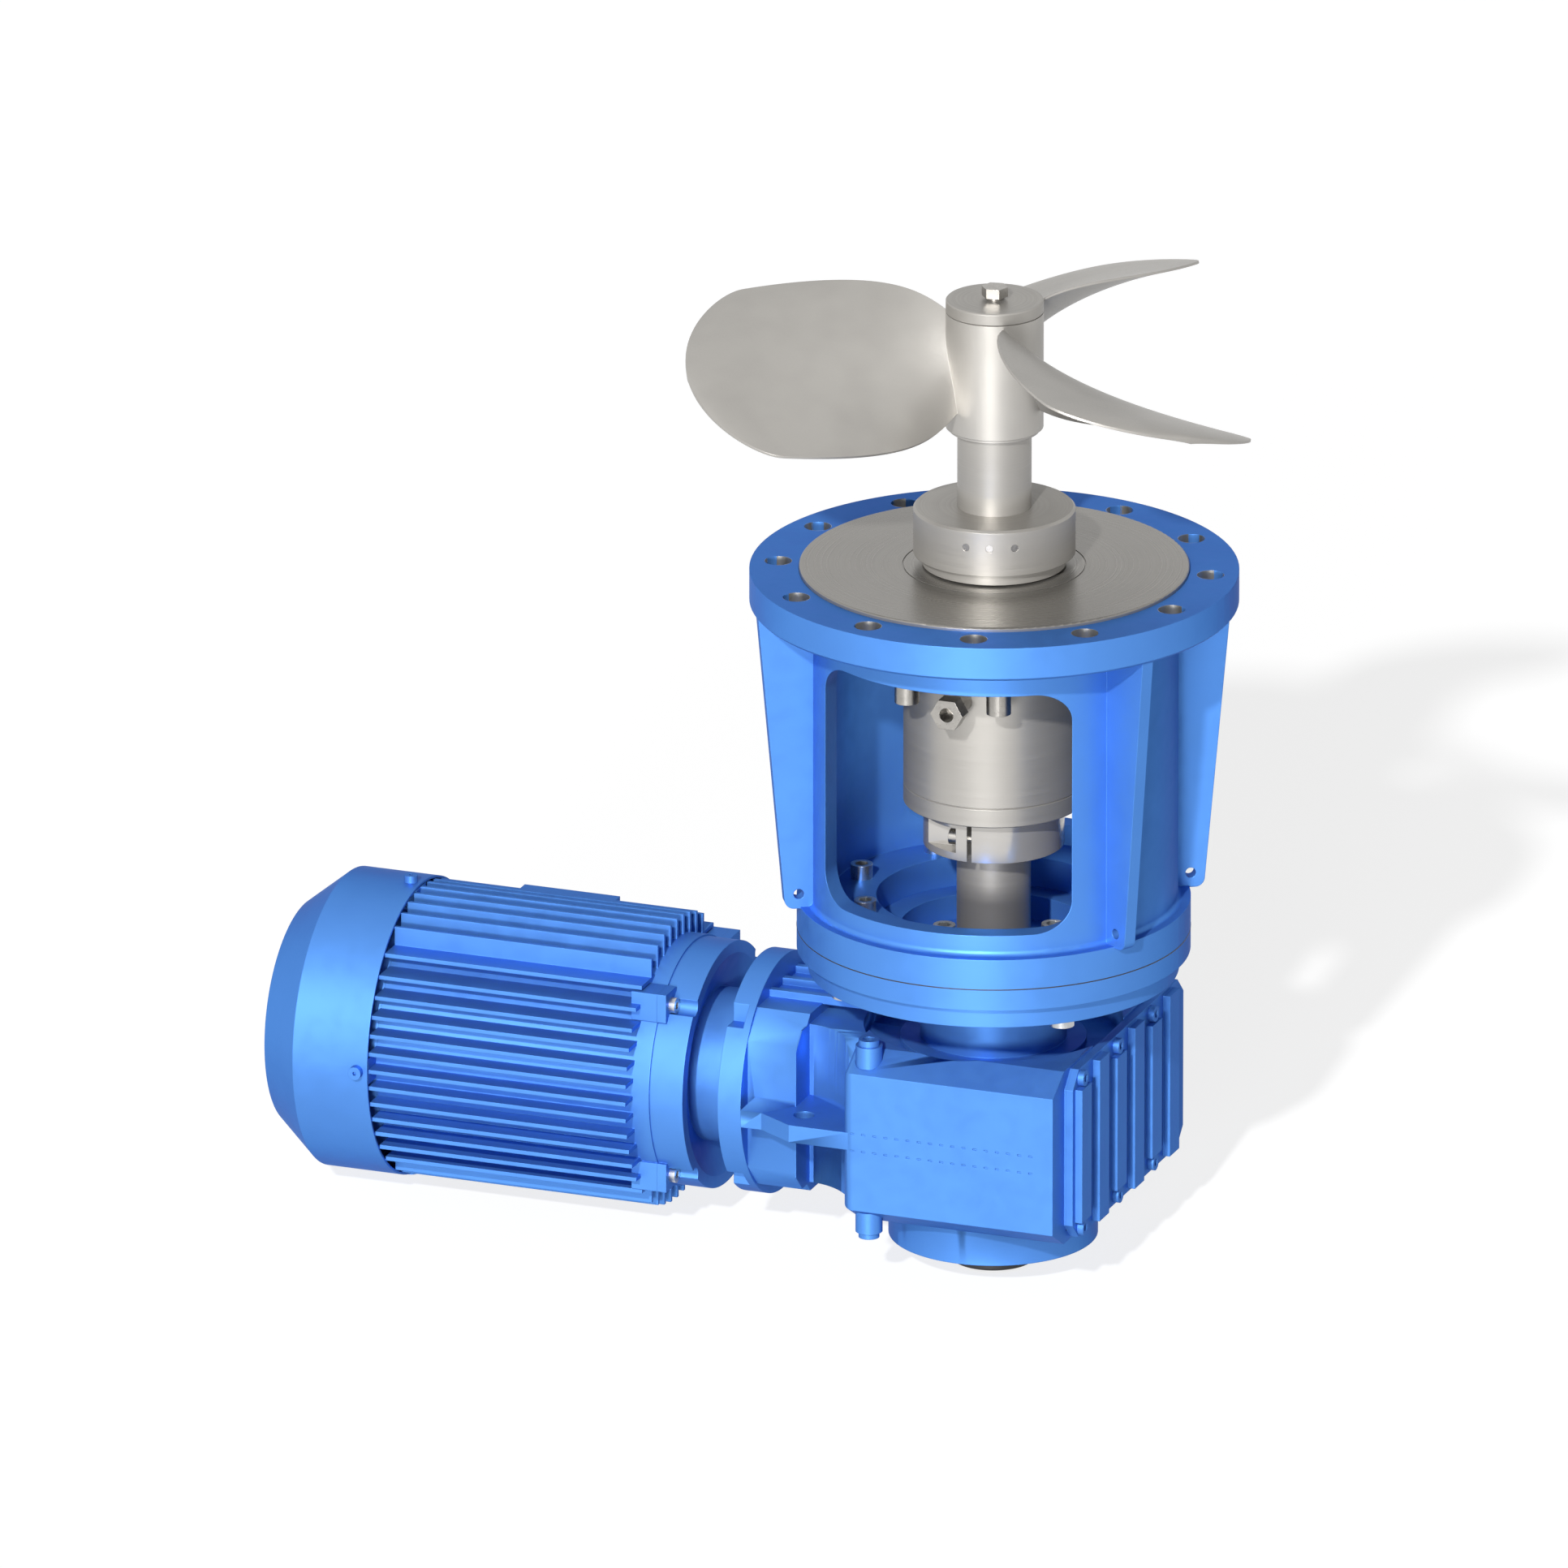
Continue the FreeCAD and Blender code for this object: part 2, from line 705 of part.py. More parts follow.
def make_clamp_ring():
    """Split clamp ring that ties the seal sleeve to the shaft, with its screw."""
    part = ring("clamp_ring", "clamp_dia", "sleeve_dia", "-clamp_top - clamp_high", "-clamp_top")
    slit = sketch_on(part, "slit", "XY_Plane", "-clamp_top")
    outline(slit, [("-clamp_slit / 2", "-clamp_dia"), ("clamp_slit / 2", "-clamp_dia"),
                   ("clamp_slit / 2", "0"), ("-clamp_slit / 2", "0")])
    pocket(part, slit, "clamp_high + 1")
    level = "-clamp_top - clamp_high / 2"
    flat = sketch_on(part, "flat", "YZ_Plane", "-clamp_seat")
    low = f"{level} - clamp_head_dia * 0.8"
    high = f"{level} + clamp_head_dia * 0.8"
    outline(flat, [("-clamp_dia", low), ("-clamp_deep", low), ("-clamp_deep", high),
                   ("-clamp_dia", high)])
    pocket(part, flat, "clamp_dia")
    bore = sketch_on(part, "bore", "YZ_Plane", "clamp_thread")
    disc(bore, "-clamp_screw_reach", level, "clamp_screw_dia")
    pocket(part, bore, "clamp_dia")
    screw = make_screw("clamp_screw", "clamp_screw_dia", "clamp_head_dia", "clamp_screw_dia",
                       "clamp_seat + clamp_thread - 1", "6")
    place(screw, ("-clamp_seat", "-clamp_screw_reach", level), Rotation(Vector(0, 1, 0), -90))
    keep(part, screw)


def blade_chord(part, middle):
    """Return the blade's width at a share of its length; it is widest at the middle's share."""
    if part > middle:
        fall = (part - middle) / (1 - middle)
        return max(size("blade_tip_chord"), size("blade_chord") * math.sqrt(max(0, 1 - fall ** 2)))
    widening = (1 - part / middle) ** 2
    return size("blade_chord") - (size("blade_chord") - size("blade_root_chord")) * widening


def blade_section(reach):
    """Return one closed section of the blade, a cambered lens wrapped on a cylinder."""
    root = size("hub_dia / 2 - blade_root")
    part = (reach - root) / (size("blade_reach") - root)
    middle = (size("blade_mid") - root) / (size("blade_reach") - root)
    chord = blade_chord(part, middle)
    fullness = min(1, part / middle)
    thick = size("blade_root_thick") * (1 - fullness) + size("blade_thick") * fullness
    pitch = math.atan2(size("blade_pitch"), 2 * math.pi * reach)
    lift = size("blade_height") + size("blade_rake") * part ** 2

    def point(share, side):
        """Return the point at a share of the chord on the upper or the lower face."""
        bulge = 1 - (2 * share) ** 2
        edge = size("blade_edge") / 2
        rise = side * (edge + (thick / 2 - edge) * bulge) + size("blade_camber") * chord * bulge
        along = -share * chord * math.cos(pitch) + rise * math.sin(pitch)
        angle = (along + size("blade_sweep") * part ** 2) / reach
        height = lift + share * chord * math.sin(pitch) + rise * math.cos(pitch)
        return Vector(reach * math.cos(angle), reach * math.sin(angle), height)

    shares = [step / 8 - 0.5 for step in range(9)]
    upper = Part.BSplineCurve()
    upper.interpolate([point(share, 1) for share in shares])
    lower = Part.BSplineCurve()
    lower.interpolate([point(share, -1) for share in reversed(shares)])
    trail = Part.LineSegment(point(0.5, 1), point(0.5, -1))
    lead = Part.LineSegment(point(-0.5, -1), point(-0.5, 1))
    return Part.Wire([curve.toShape() for curve in (upper, trail, lower, lead)])


def make_propeller():
    """Hub and three broad, twisted blades cast in one piece, with cap, screw and key."""
    hub = turned("propeller_hub", [
        ("shaft_dia / 2", "hub_foot"), ("hub_dia / 2 - hub_step", "hub_foot"),
        ("hub_dia / 2 - hub_step", "hub_foot + hub_step"),
        ("hub_dia / 2", "hub_foot + hub_step"), ("hub_dia / 2", "hub_top"),
        ("shaft_dia / 2", "hub_top")])
    keyway = sketch_on(hub, "keyway", "XY_Plane", "hub_key_foot")
    outline(keyway, [("0", "-key_width / 2"), ("shaft_dia / 2 + key_high - key_deep", "-key_width / 2"),
                     ("shaft_dia / 2 + key_high - key_deep", "key_width / 2"),
                     ("0", "key_width / 2")])
    pocket(hub, keyway, "hub_top - hub_key_foot + 1", reverse=True)
    doc.recompute()
    root = size("hub_dia / 2 - blade_root")
    tip = size("blade_reach")
    stations = [root + (tip - root) * math.sin(math.pi / 2 * step / 12) for step in range(13)]
    sections = [blade_section(reach) for reach in stations]
    ends = [Part.makeFilledFace(Part.__sortEdges__(sections[end].Edges)) for end in (0, -1)]
    skin = Part.makeShell(Part.makeLoft(sections, False, False).Faces + ends)
    skin.sewShape()
    blade = Part.Solid(skin)
    count = int(size("blade_count"))
    solid = hub.Shape
    for angle in around(count, PROPELLER_ANGLE):
        copy = blade.copy()
        copy.rotate(Vector(0, 0, 0), Vector(0, 0, 1), angle)
        core = Part.makeCylinder(size("shaft_dia / 2 + 5"), size("hub_top"))
        solid = solid.fuse(copy.cut(core))
    propeller = doc.addObject("Part::Feature", "propeller")
    propeller.Label = "propeller"
    propeller.Shape = solid.removeSplitter()
    propeller.Placement = Placement()

    cap = turned("hub_cap", [
        ("cap_thread_dia / 2 + seat_gap", "hub_top"), ("hub_dia / 2", "hub_top"),
        ("hub_dia / 2", "hub_top + cap_high"),
        ("cap_thread_dia / 2 + seat_gap", "hub_top + cap_high")])
    soften(cap, "Chamfer", "cap_chamfer", lambda edge: is_circle(edge, "hub_dia / 2"))
    seat = "hub_top + cap_high"
    screw = rod("hub_cap_screw", [
        ("0", "shaft_top - cap_thread_deep"), ("cap_thread_dia", seat),
        ("cap_neck_dia", f"{seat} + cap_neck_high")])
    hexagon = sketch_on(screw, "hexagon", "XY_Plane", f"{seat} + cap_neck_high")
    outline(hexagon, [(f"cap_hex / sqrt(3) * cos({angle})", f"cap_hex / sqrt(3) * sin({angle})")
                      for angle in around(6, 10)])
    pad(screw, hexagon, "cap_hex_high")
    key = body("hub_key")
    section = sketch_on(key, "section", "XY_Plane", "hub_key_foot")
    outer_edge = "shaft_dia / 2 + key_high - key_deep"
    outline(section, [("shaft_dia / 2 - key_deep", "-key_width / 2"), (outer_edge, "-key_width / 2"),
                      (outer_edge, "key_width / 2"), ("shaft_dia / 2 - key_deep", "key_width / 2")])
    pad(key, section, "hub_key_long")
    keep(propeller, cap, screw)
    return key


def make_shaft():
    """Agitator shaft with its keyways, and the collar above the plate."""
    shaft = rod("agitator_shaft", [("0", "-shaft_end"), ("shaft_dia", "shaft_top")])
    for name, foot, long in (("hub", "hub_key_foot", "hub_key_long"),
                             ("drive", "drive_key_foot", "drive_key_long")):
        keyway = sketch_on(shaft, f"{name}_keyway", "XY_Plane", foot)
        outline(keyway, [("shaft_dia / 2 - key_deep", "-key_width / 2"), ("shaft_dia", "-key_width / 2"),
                         ("shaft_dia", "key_width / 2"), ("shaft_dia / 2 - key_deep", "key_width / 2")])
        pocket(shaft, keyway, long, reverse=True)
    thread = sketch_on(shaft, "thread", "XY_Plane", "shaft_top")
    disc(thread, "0", "0", "cap_thread_dia")
    pocket(shaft, thread, "cap_thread_deep")
    collar = turned("shaft_collar", [
        ("shaft_dia / 2", "collar_neck_foot"), ("collar_neck_dia / 2", "collar_neck_foot"),
        ("collar_neck_dia / 2", "collar_foot"), ("collar_dia / 2", "collar_foot"),
        ("collar_dia / 2", "collar_top"), ("shaft_dia / 2", "collar_top")])
    soften(collar, "Chamfer", "collar_chamfer", lambda edge: is_circle(
        edge, "collar_dia / 2", "collar_top"))
    for index, angle in enumerate(GRUB_ANGLES, start=1):
        hole = sketch_on(collar, f"grub_hole{index}", "YZ_Plane", "collar_dia / 2", swing=angle)
        disc(hole, "0", "grub_height", "grub_dia")
        pocket(collar, hole, "(collar_dia - shaft_dia) / 2 - 1")
    grub = rod("grub_screw", [("0", "0"), ("grub_dia", "grub_long")])
    spots = [(("(shaft_dia / 2 + 1) * cos(%g)" % angle, "(shaft_dia / 2 + 1) * sin(%g)" % angle,
               "grub_height"), Rotation(Vector(0, 0, 1), angle) * TO_X) for angle in GRUB_ANGLES]
    screws = group("collar_grub_screws", grub, spots)
    keep(shaft, collar, screws)


BEVEL_AXIS = "(motor_offset + input_module * (pinion_teeth + helical_teeth) / 2)"
SPAN = "(output_module * (output_teeth + counter_teeth) / 2)"
COUNTER_X = f"(-sqrt({SPAN}^2 - {BEVEL_AXIS}^2))"
APEX_REACH = "(bevel_module * wheel_teeth / 2)"
LEVEL = "-axis_drop"
PLUG_SLOPE = "(box_half - box_front_half) * (box_front - plug_front) / box_slope"
PLUG_SEAT = f"(box_front_half + {PLUG_SLOPE} - plug_sink)"


def box_outline(sketch, left, right, low, high, cut="0"):
    """Draw a rectangle, its corners cut off where a cut is given."""
    if cut == "0":
        outline(sketch, [(left, low), (right, low), (right, high), (left, high)])
        return
    outline(sketch, [
        (f"{left} + {cut}", low), (f"{right} - {cut}", low), (right, f"{low} + {cut}"),
        (right, f"{high} - {cut}"), (f"{right} - {cut}", high), (f"{left} + {cut}", high),
        (left, f"{high} - {cut}"), (left, f"{low} + {cut}")])


def make_adapter():
    """Adapter ring, the gearbox's output flange and the screws that join them."""
    top = "-foot_top - foot_thick"
    foot = f"{top} - adapter_thick"
    adapter = turned("adapter_ring", [
        ("adapter_bore / 2", foot), ("output_flange_dia / 2 - adapter_gap * 2", foot),
        ("output_flange_dia / 2 - adapter_gap * 2", f"{foot} + adapter_gap"),
        ("foot_dia / 2", f"{foot} + adapter_gap"), ("foot_dia / 2", top),
        ("adapter_bore / 2", top)])
    holes(adapter, "foot_holes", "foot_screw_circle", 8, "foot_screw_dia", lift=top,
          length="adapter_thick - 4")
    holes(adapter, "flange_holes", "output_screw_circle", 4, "output_screw_dia", start=45,
          lift=foot, length="adapter_thick - 4", reverse=True)
    bolt = make_screw("foot_screw", "foot_screw_dia", "foot_head_dia", "foot_head_high",
                      "foot_thick + adapter_thick - 6", "10")
    bolts = group("lantern_screws", bolt, ring_spots("foot_screw_circle", 8, "-foot_top"))
    under = f"{foot} - output_flange_thick"
    flange = turned("output_flange", [
        ("neck_bore / 2", "-neck_foot"), ("neck_dia / 2 + neck_step", "-neck_foot"),
        ("neck_dia / 2 + neck_step", "-neck_foot + neck_step_high"),
        ("neck_dia / 2", "-neck_foot + neck_step_high"), ("neck_dia / 2", under),
        ("output_flange_dia / 2", under), ("output_flange_dia / 2", foot),
        ("neck_bore / 2", foot)])
    holes(flange, "flange_holes", "output_screw_circle", 4, "output_screw_dia + seat_gap",
          start=45, lift=foot, length="output_flange_thick + 1")
    screw = make_screw("flange_screw", "output_screw_dia", "output_head_dia", "output_head_high",
                       "output_flange_thick + adapter_thick - 5", "10")
    screws = group("output_flange_screws", screw, ring_spots(
        "output_screw_circle", 4, under, 45, DOWN))
    keep(adapter, bolts, flange, screws)


def make_housing():
    """Cast gearbox housing: box, throat, input block, foot strip and bottom boss."""
    part = body("gearbox_housing")
    main = sketch_on(part, "main", "YZ_Plane", "-box_left")
    outline(main, [
        ("-box_front", "-box_front_half"), ("-box_front + box_slope", "-box_half"),
        ("box_back - box_chamfer", "-box_half"), ("box_back", "-box_half + box_chamfer"),
        ("box_back", "box_half - box_chamfer"), ("box_back - box_chamfer", "box_half"),
        ("-box_front + box_slope", "box_half"), ("-box_front", "box_front_half")])
    pad(part, main, "box_left + box_right")
    throat = sketch_on(part, "throat", "YZ_Plane", "-block_right - 1")
    box_outline(throat, "-throat_front", "throat_back", "-throat_half", "throat_half",
                "box_chamfer")
    pad(part, throat, "block_right - box_left + 2")
    block = sketch_on(part, "block", "YZ_Plane", "-block_left")
    box_outline(block, "motor_offset - block_half_wide", "motor_offset + block_half_wide",
                "-block_half_high", "block_half_high", "block_chamfer")
    pad(part, block, "block_left - block_right")
    doc.recompute()
    edge_x = -size("box_left")
    soften(part, "Fillet", "box_corner", lambda edge: len(edge.Vertexes) == 2 and all(
        abs(point.X - edge_x) < 0.01 and point.Y < 0.01 - size("box_front - box_slope")
        for point in edge.Vertexes))
    strip = sketch_on(part, "strip", "XY_Plane")
    outline(strip, [
        ("-strip_left", "-strip_root"), ("-strip_left", "-strip_nose"),
        ("-strip_left + strip_step", "-strip_nose"), ("-strip_hip", "-box_front + 1"),
        ("-box_left + box_corner * 2", "-box_front + 1"),
        ("-box_left + box_corner * 2", "-strip_root")])
    pad(part, strip, "strip_thick", midplane=True)
    lug = sketch_on(part, "lug", "XY_Plane")
    disc(lug, "-strip_hole_left", "-strip_hole_front", "strip_hole")
    pocket(part, lug, "strip_thick * 2", both=True)
    fins = sketch_on(part, "fins", "YZ_Plane", "-block_left")
    for index in range(3):
        middle = f"motor_offset + block_fin_pitch * {index - 1}"
        box_outline(fins, f"{middle} - block_fin / 2", f"{middle} + block_fin / 2",
                    "block_half_high - 1", "block_half_high + block_fin_high")
    pad(part, fins, "block_left - box_left")
    boss = sketch_on(part, "boss", "XY_Plane", "-box_half + 1")
    disc(boss, "0", "0", "boss_dia")
    pad(part, boss, "boss_foot - axis_drop - box_half + 1", reverse=True)
    dish = sketch_on(part, "dish", "XY_Plane", "box_half")
    disc(dish, "0", "0", "dish_dia")
    pocket(part, dish, "box_half - (axis_drop - neck_foot)")

    cavity = sketch_on(part, "cavity", "YZ_Plane", "box_right")
    box_outline(cavity, "-box_front + box_wall * 2", "box_back - box_wall",
                "-box_half + box_wall", "cavity_top")
    pocket(part, cavity, "box_right + box_left - box_wall")
    wheel = sketch_on(part, "wheel_room", "XY_Plane",
                      "-output_mid_drop + output_face / 2 + wheel_room_gap")
    disc(wheel, "0", "0", "output_module * (output_teeth + 2) + wheel_room_gap * 2")
    pocket(part, wheel, "output_face + wheel_room_gap * 2")
    room = sketch_on(part, "throat_room", "YZ_Plane", "-box_left + box_wall + 1")
    box_outline(room, f"{BEVEL_AXIS} - throat_room / 2", f"{BEVEL_AXIS} + throat_room / 2",
                "-throat_room_half", "throat_room_half")
    pocket(part, room, f"-box_left + box_wall + 1 - ({COUNTER_X}) + throat_room / 2")
    gears = sketch_on(part, "input_room", "YZ_Plane", "-block_left")
    outline(gears, [
        ("motor_offset - input_room_half", "-input_room_half"),
        ("motor_offset + input_room_wide", "-input_room_half"),
        ("motor_offset + input_room_wide", "input_room_half"),
        ("motor_offset - input_room_half", "input_room_half")])
    pocket(part, gears, "input_room_deep", reverse=True)
    tunnel = sketch_on(part, "tunnel", "YZ_Plane", "-block_left")
    disc(tunnel, BEVEL_AXIS, "0", "pinion_bearing_dia")
    pocket(part, tunnel, "block_left - box_left", reverse=True)
    seat = sketch_on(part, "bearing_seat", "XY_Plane", "cavity_top + 1")
    disc(seat, "0", "0", "output_bearing_dia + seat_ring * 2")
    pad(part, seat, "cavity_top + 1 - seat_foot", reverse=True)
    for name, lift, cut in (("top_bore", "box_half", "box_half"),
                            ("bottom_bore", "-boss_foot + axis_drop", "-box_half")):
        bore = sketch_on(part, name, "XY_Plane", lift)
        disc(bore, "0", "0", "output_bearing_dia")
        pocket(part, bore, "box_half" if name == "top_bore" else
               "boss_foot - axis_drop - box_half + box_wall + 1", reverse=name != "top_bore")
    for name, lift, flip in (("upper_bore", "throat_room_half - 1", True),
                             ("lower_bore", "-throat_room_half + 1", False)):
        bore = sketch_on(part, name, "XY_Plane", lift)
        disc(bore, COUNTER_X, BEVEL_AXIS, "small_bearing_dia")
        pocket(part, bore, "small_bearing_wide + 1", reverse=flip)
    for name, sign, flip in (("vent", "", True), ("drain", "-", False)):
        bore = sketch_on(part, f"{name}_hole", "XY_Plane", "0")
        disc(bore, "-plug_left", "-plug_front", "plug_thread_dia")
        pocket(part, bore, "box_half", reverse=flip)
        spot = sketch_on(part, f"{name}_spot_face", "XY_Plane", f"{sign}{PLUG_SEAT}")
        disc(spot, "-plug_left", "-plug_front", "plug_dia + seat_gap")
        pocket(part, spot, "box_half", reverse=flip)
    place(part, ("0", "0", LEVEL))
    keep(part)


def make_plugs():
    """Vent plug on top of the gearbox and the like drain plug below it."""
    plug = rod("oil_plug", [
        ("0", "-plug_deep"), ("plug_thread_dia", "0"), ("plug_dia", "plug_high"),
        ("plug_collar_dia", "plug_high + plug_collar_high")])
    socket = sketch_on(plug, "socket", "XY_Plane", "plug_high + plug_collar_high")
    disc(socket, "0", "0", "plug_socket")
    pocket(plug, socket, "plug_high / 2")
    keep(group("oil_plugs", plug, [
        (("-plug_left", "-plug_front", f"{LEVEL} + {PLUG_SEAT}"), Rotation()),
        (("-plug_left", "-plug_front", f"{LEVEL} - {PLUG_SEAT}"), DOWN)]))


def make_rear_cover():
    """Ribbed rear cover with its gasket and corner screws."""
    face = "box_right + cover_gasket"
    gasket = body("cover_gasket")
    flat = sketch_on(gasket, "face", "YZ_Plane", "box_right")
    box_outline(flat, "-cover_left", "box_back - box_chamfer", "-cover_half", "cover_half",
                "cover_corner")
    box_outline(flat, "-cover_left + gasket_wide", "box_back - box_chamfer - gasket_wide",
                "-cover_half + gasket_wide", "cover_half - gasket_wide", "cover_corner")
    pad(gasket, flat, "cover_gasket")
    place(gasket, ("0", "0", LEVEL))
    cover = body("rear_cover")
    plate = sketch_on(cover, "plate", "YZ_Plane", face)
    box_outline(plate, "-cover_left", "cover_right", "-cover_half", "cover_half", "cover_corner")
    pad(cover, plate, "cover_plate")
    ribs = sketch_on(cover, "ribs", "YZ_Plane", f"{face} + cover_plate - 1")
    for index in range(int(size("cover_rib_count"))):
        left = f"(-cover_left + cover_rib_start + cover_rib_pitch * {index})"
        short = "cover_rib_cut" if index % 2 == 0 else "0"
        box_outline(ribs, left, f"{left} + cover_rib_wide", f"-cover_half + cover_rib_end + {short}",
                    f"cover_half - cover_rib_end - {short}")
    pad(cover, ribs, "cover_rib_high + 1")
    spots = []
    seats = sketch_on(cover, "screw_holes", "YZ_Plane", f"{face} + cover_plate")
    spread = f"(cover_rib_start + cover_rib_wide / 2)"
    for index in range(0, int(size("cover_rib_count")), 2):
        across = f"-cover_left + {spread} + cover_rib_pitch * {index}"
        for sign in ("-", ""):
            up = f"{sign}(cover_half - cover_screw_inset)"
            disc(seats, across, up, "cover_screw_dia + seat_gap")
            spots.append(((f"{face} + cover_plate", across, f"{LEVEL} + {up}"), TO_X))
    pocket(cover, seats, "cover_plate + 2")
    threads = sketch_on(gasket, "screw_holes", "YZ_Plane", f"{face} + 1")
    for (_, across, _), _ in spots[::2]:
        for sign in ("-", ""):
            disc(threads, across, f"{sign}(cover_half - cover_screw_inset)",
                 "cover_screw_dia + seat_gap")
    pocket(gasket, threads, "cover_gasket + 2")
    place(cover, ("0", "0", LEVEL))
    screw = make_screw("cover_screw", "cover_screw_dia", "cover_head_dia", "cover_head_high",
                       "cover_plate + cover_gasket", "6")
    screws = group("rear_cover_screws", screw, spots)
    keep(gasket, cover, screws)


def make_bottom_cover():
    """Ring that closes the bottom bearing and the cap over the shaft's end."""
    top = "-boss_foot + bottom_cover_thick"
    cover = ring("bearing_cover", "output_bearing_dia - running_gap * 2", "end_cap_dia",
                 "-boss_foot", top)
    cap = turned("end_cap", [
        ("0", "-end_cap_foot"), ("end_cap_dia / 2", "-end_cap_foot"),
        ("end_cap_dia / 2", top), ("end_cap_dia / 2 - end_cap_wall", top),
        ("end_cap_dia / 2 - end_cap_wall", "-end_cap_foot + end_cap_wall"),
        ("0", "-end_cap_foot + end_cap_wall")])
    soften(cap, "Fillet", "end_cap_wall * 0.8", lambda edge: is_circle(
        edge, "end_cap_dia / 2", "-end_cap_foot"))
    keep(cover, cap)


def tooth_wire(teeth, module, play, lift=0, scale=1, tip=1):
    """Return a gear's outline, six points to a tooth, thinned by the play."""
    pitch = module * teeth / 2
    top = pitch + tip * module
    corners = []
    for index in range(teeth):
        middle = 2 * math.pi * index / teeth
        for radius, half in ((pitch - 1.2 * module, 0.62), (pitch, 0.5), (top, 0.24)):
            half = half * math.pi / 2 / teeth * 2 * (1 - play)
            corners.append((middle - half, radius))
        for radius, half in ((top, 0.24), (pitch, 0.5), (pitch - 1.2 * module, 0.62)):
            half = half * math.pi / 2 / teeth * 2 * (1 - play)
            corners.append((middle + half, radius))
    points = [Vector(scale * radius * math.cos(angle), scale * radius * math.sin(angle), lift)
              for angle, radius in corners]
    return Part.makePolygon(points + points[:1])


def gear(teeth, module, face, bore, foot, phase=0):
    """Return a straight-toothed gear about Z, its lower face at a height."""
    blank = Part.Face(tooth_wire(teeth, module, size("tooth_play"), foot)).extrude(
        Vector(0, 0, face))
    blank.rotate(Vector(), Vector(0, 0, 1), phase)
    if bore:
        blank = blank.cut(Part.makeCylinder(bore / 2, face + 2, Vector(0, 0, foot - 1)))
    return blank


def bevel_gear(teeth, mate, module, face, bore, back, phase=0):
    """Return a straight bevel gear about Z with its apex at the origin, its back away from it."""
    reach = module * mate / 2
    slant = math.hypot(teeth, mate) * module / 2
    near = (slant - face) / slant
    outer = tooth_wire(teeth, module, size("bevel_play"), reach, 1, size("bevel_tip"))
    inner = tooth_wire(teeth, module, size("bevel_play"), reach * near, near, size("bevel_tip"))
    body_part = Part.makeLoft([inner, outer], True, True)
    root = module * teeth / 2 - 1.2 * module
    disc_part = Part.makeCylinder(root, back, Vector(0, 0, reach))
    blank = body_part.fuse(disc_part)
    blank.rotate(Vector(), Vector(0, 0, 1), phase)
    if bore:
        blank = blank.cut(Part.makeCylinder(bore / 2, reach + back + 2))
    return blank


def shaped(label, shape, at=("0", "0", "0"), turn=None):
    """Put a shape made by code into the document."""
    part = doc.addObject("Part::Feature", label)
    part.Label = label
    part.Shape = shape
    return place(part, at, turn)


def bearing_pair(name, outer, shaft, wide, feet, at, turn=None):
    """Return the outer and inner rings of a pair of bearings as two groups."""
    middle = f"(({outer}) + ({shaft})) / 2"
    outer_ring = ring(f"{name}_outer_ring", outer, f"{middle} + running_gap * 2", "0", wide)
    inner_ring = ring(f"{name}_inner_ring", middle, shaft, "0", wide)
    turn = turn or Rotation()
    spots = []
    for foot in feet:
        spot = list(at)
        axis = 2 if turn.isSame(Rotation(), 1e-6) else 0
        spot[axis] = f"{at[axis]} + {foot}"
        spots.append((tuple(spot), turn))
    outer_rings.append(group(f"{name}_outer_rings", outer_ring, spots))
    keep(group(f"{name}_inner_rings", inner_ring, spots))


def make_output_stage():
    """Hollow shaft, output wheel, drive key, bearings and shaft seals."""
    hollow = turned("output_hollow_shaft", [
        ("shaft_dia / 2", "-hollow_foot"), ("hollow_dia / 2", "-hollow_foot"),
        ("hollow_dia / 2", "-hollow_top"), ("shaft_dia / 2", "-hollow_top")])
    keyway = sketch_on(hollow, "keyway", "XY_Plane", "-hollow_foot")
    deep = "shaft_dia / 2 + key_high - key_deep"
    outline(keyway, [("0", "-key_width / 2"), (deep, "-key_width / 2"), (deep, "key_width / 2"),
                     ("0", "key_width / 2")])
    pocket(hollow, keyway, "hollow_foot - hollow_top + 1", reverse=True)
    key = body("drive_key")
    section = sketch_on(key, "section", "XY_Plane", "drive_key_foot")
    inner = "shaft_dia / 2 - key_deep"
    outline(section, [(inner, "-key_width / 2"), (deep, "-key_width / 2"),
                      (deep, "key_width / 2"), (inner, "key_width / 2")])
    pad(key, section, "drive_key_long")
    wheel = shaped("output_wheel", gear(
        int(size("output_teeth")), size("output_module"), size("output_face"),
        size("hollow_dia"), -size("output_face") / 2),
        ("0", "0", f"{LEVEL} - output_mid_drop"))
    bearing_pair("output_bearing", "output_bearing_dia", "hollow_dia", "output_bearing_wide",
                 ("-neck_foot - output_bearing_wide - seat_gap",
                  "-boss_foot + bottom_cover_thick + seal_wide + seat_gap * 2"), ("0", "0", "0"))
    seals = [ring("output_seal", "neck_bore", "hollow_dia + running_gap * 2", "0", "seal_wide"),
             ring("bottom_seal", "output_bearing_dia", "hollow_dia + running_gap * 2", "0",
                  "seal_wide")]
    place(seals[0], ("0", "0", "-neck_foot + seat_gap"))
    place(seals[1], ("0", "0", "-boss_foot + bottom_cover_thick + seat_gap"))
    keep(hollow, wheel, together("output_seals", *seals))
    return key


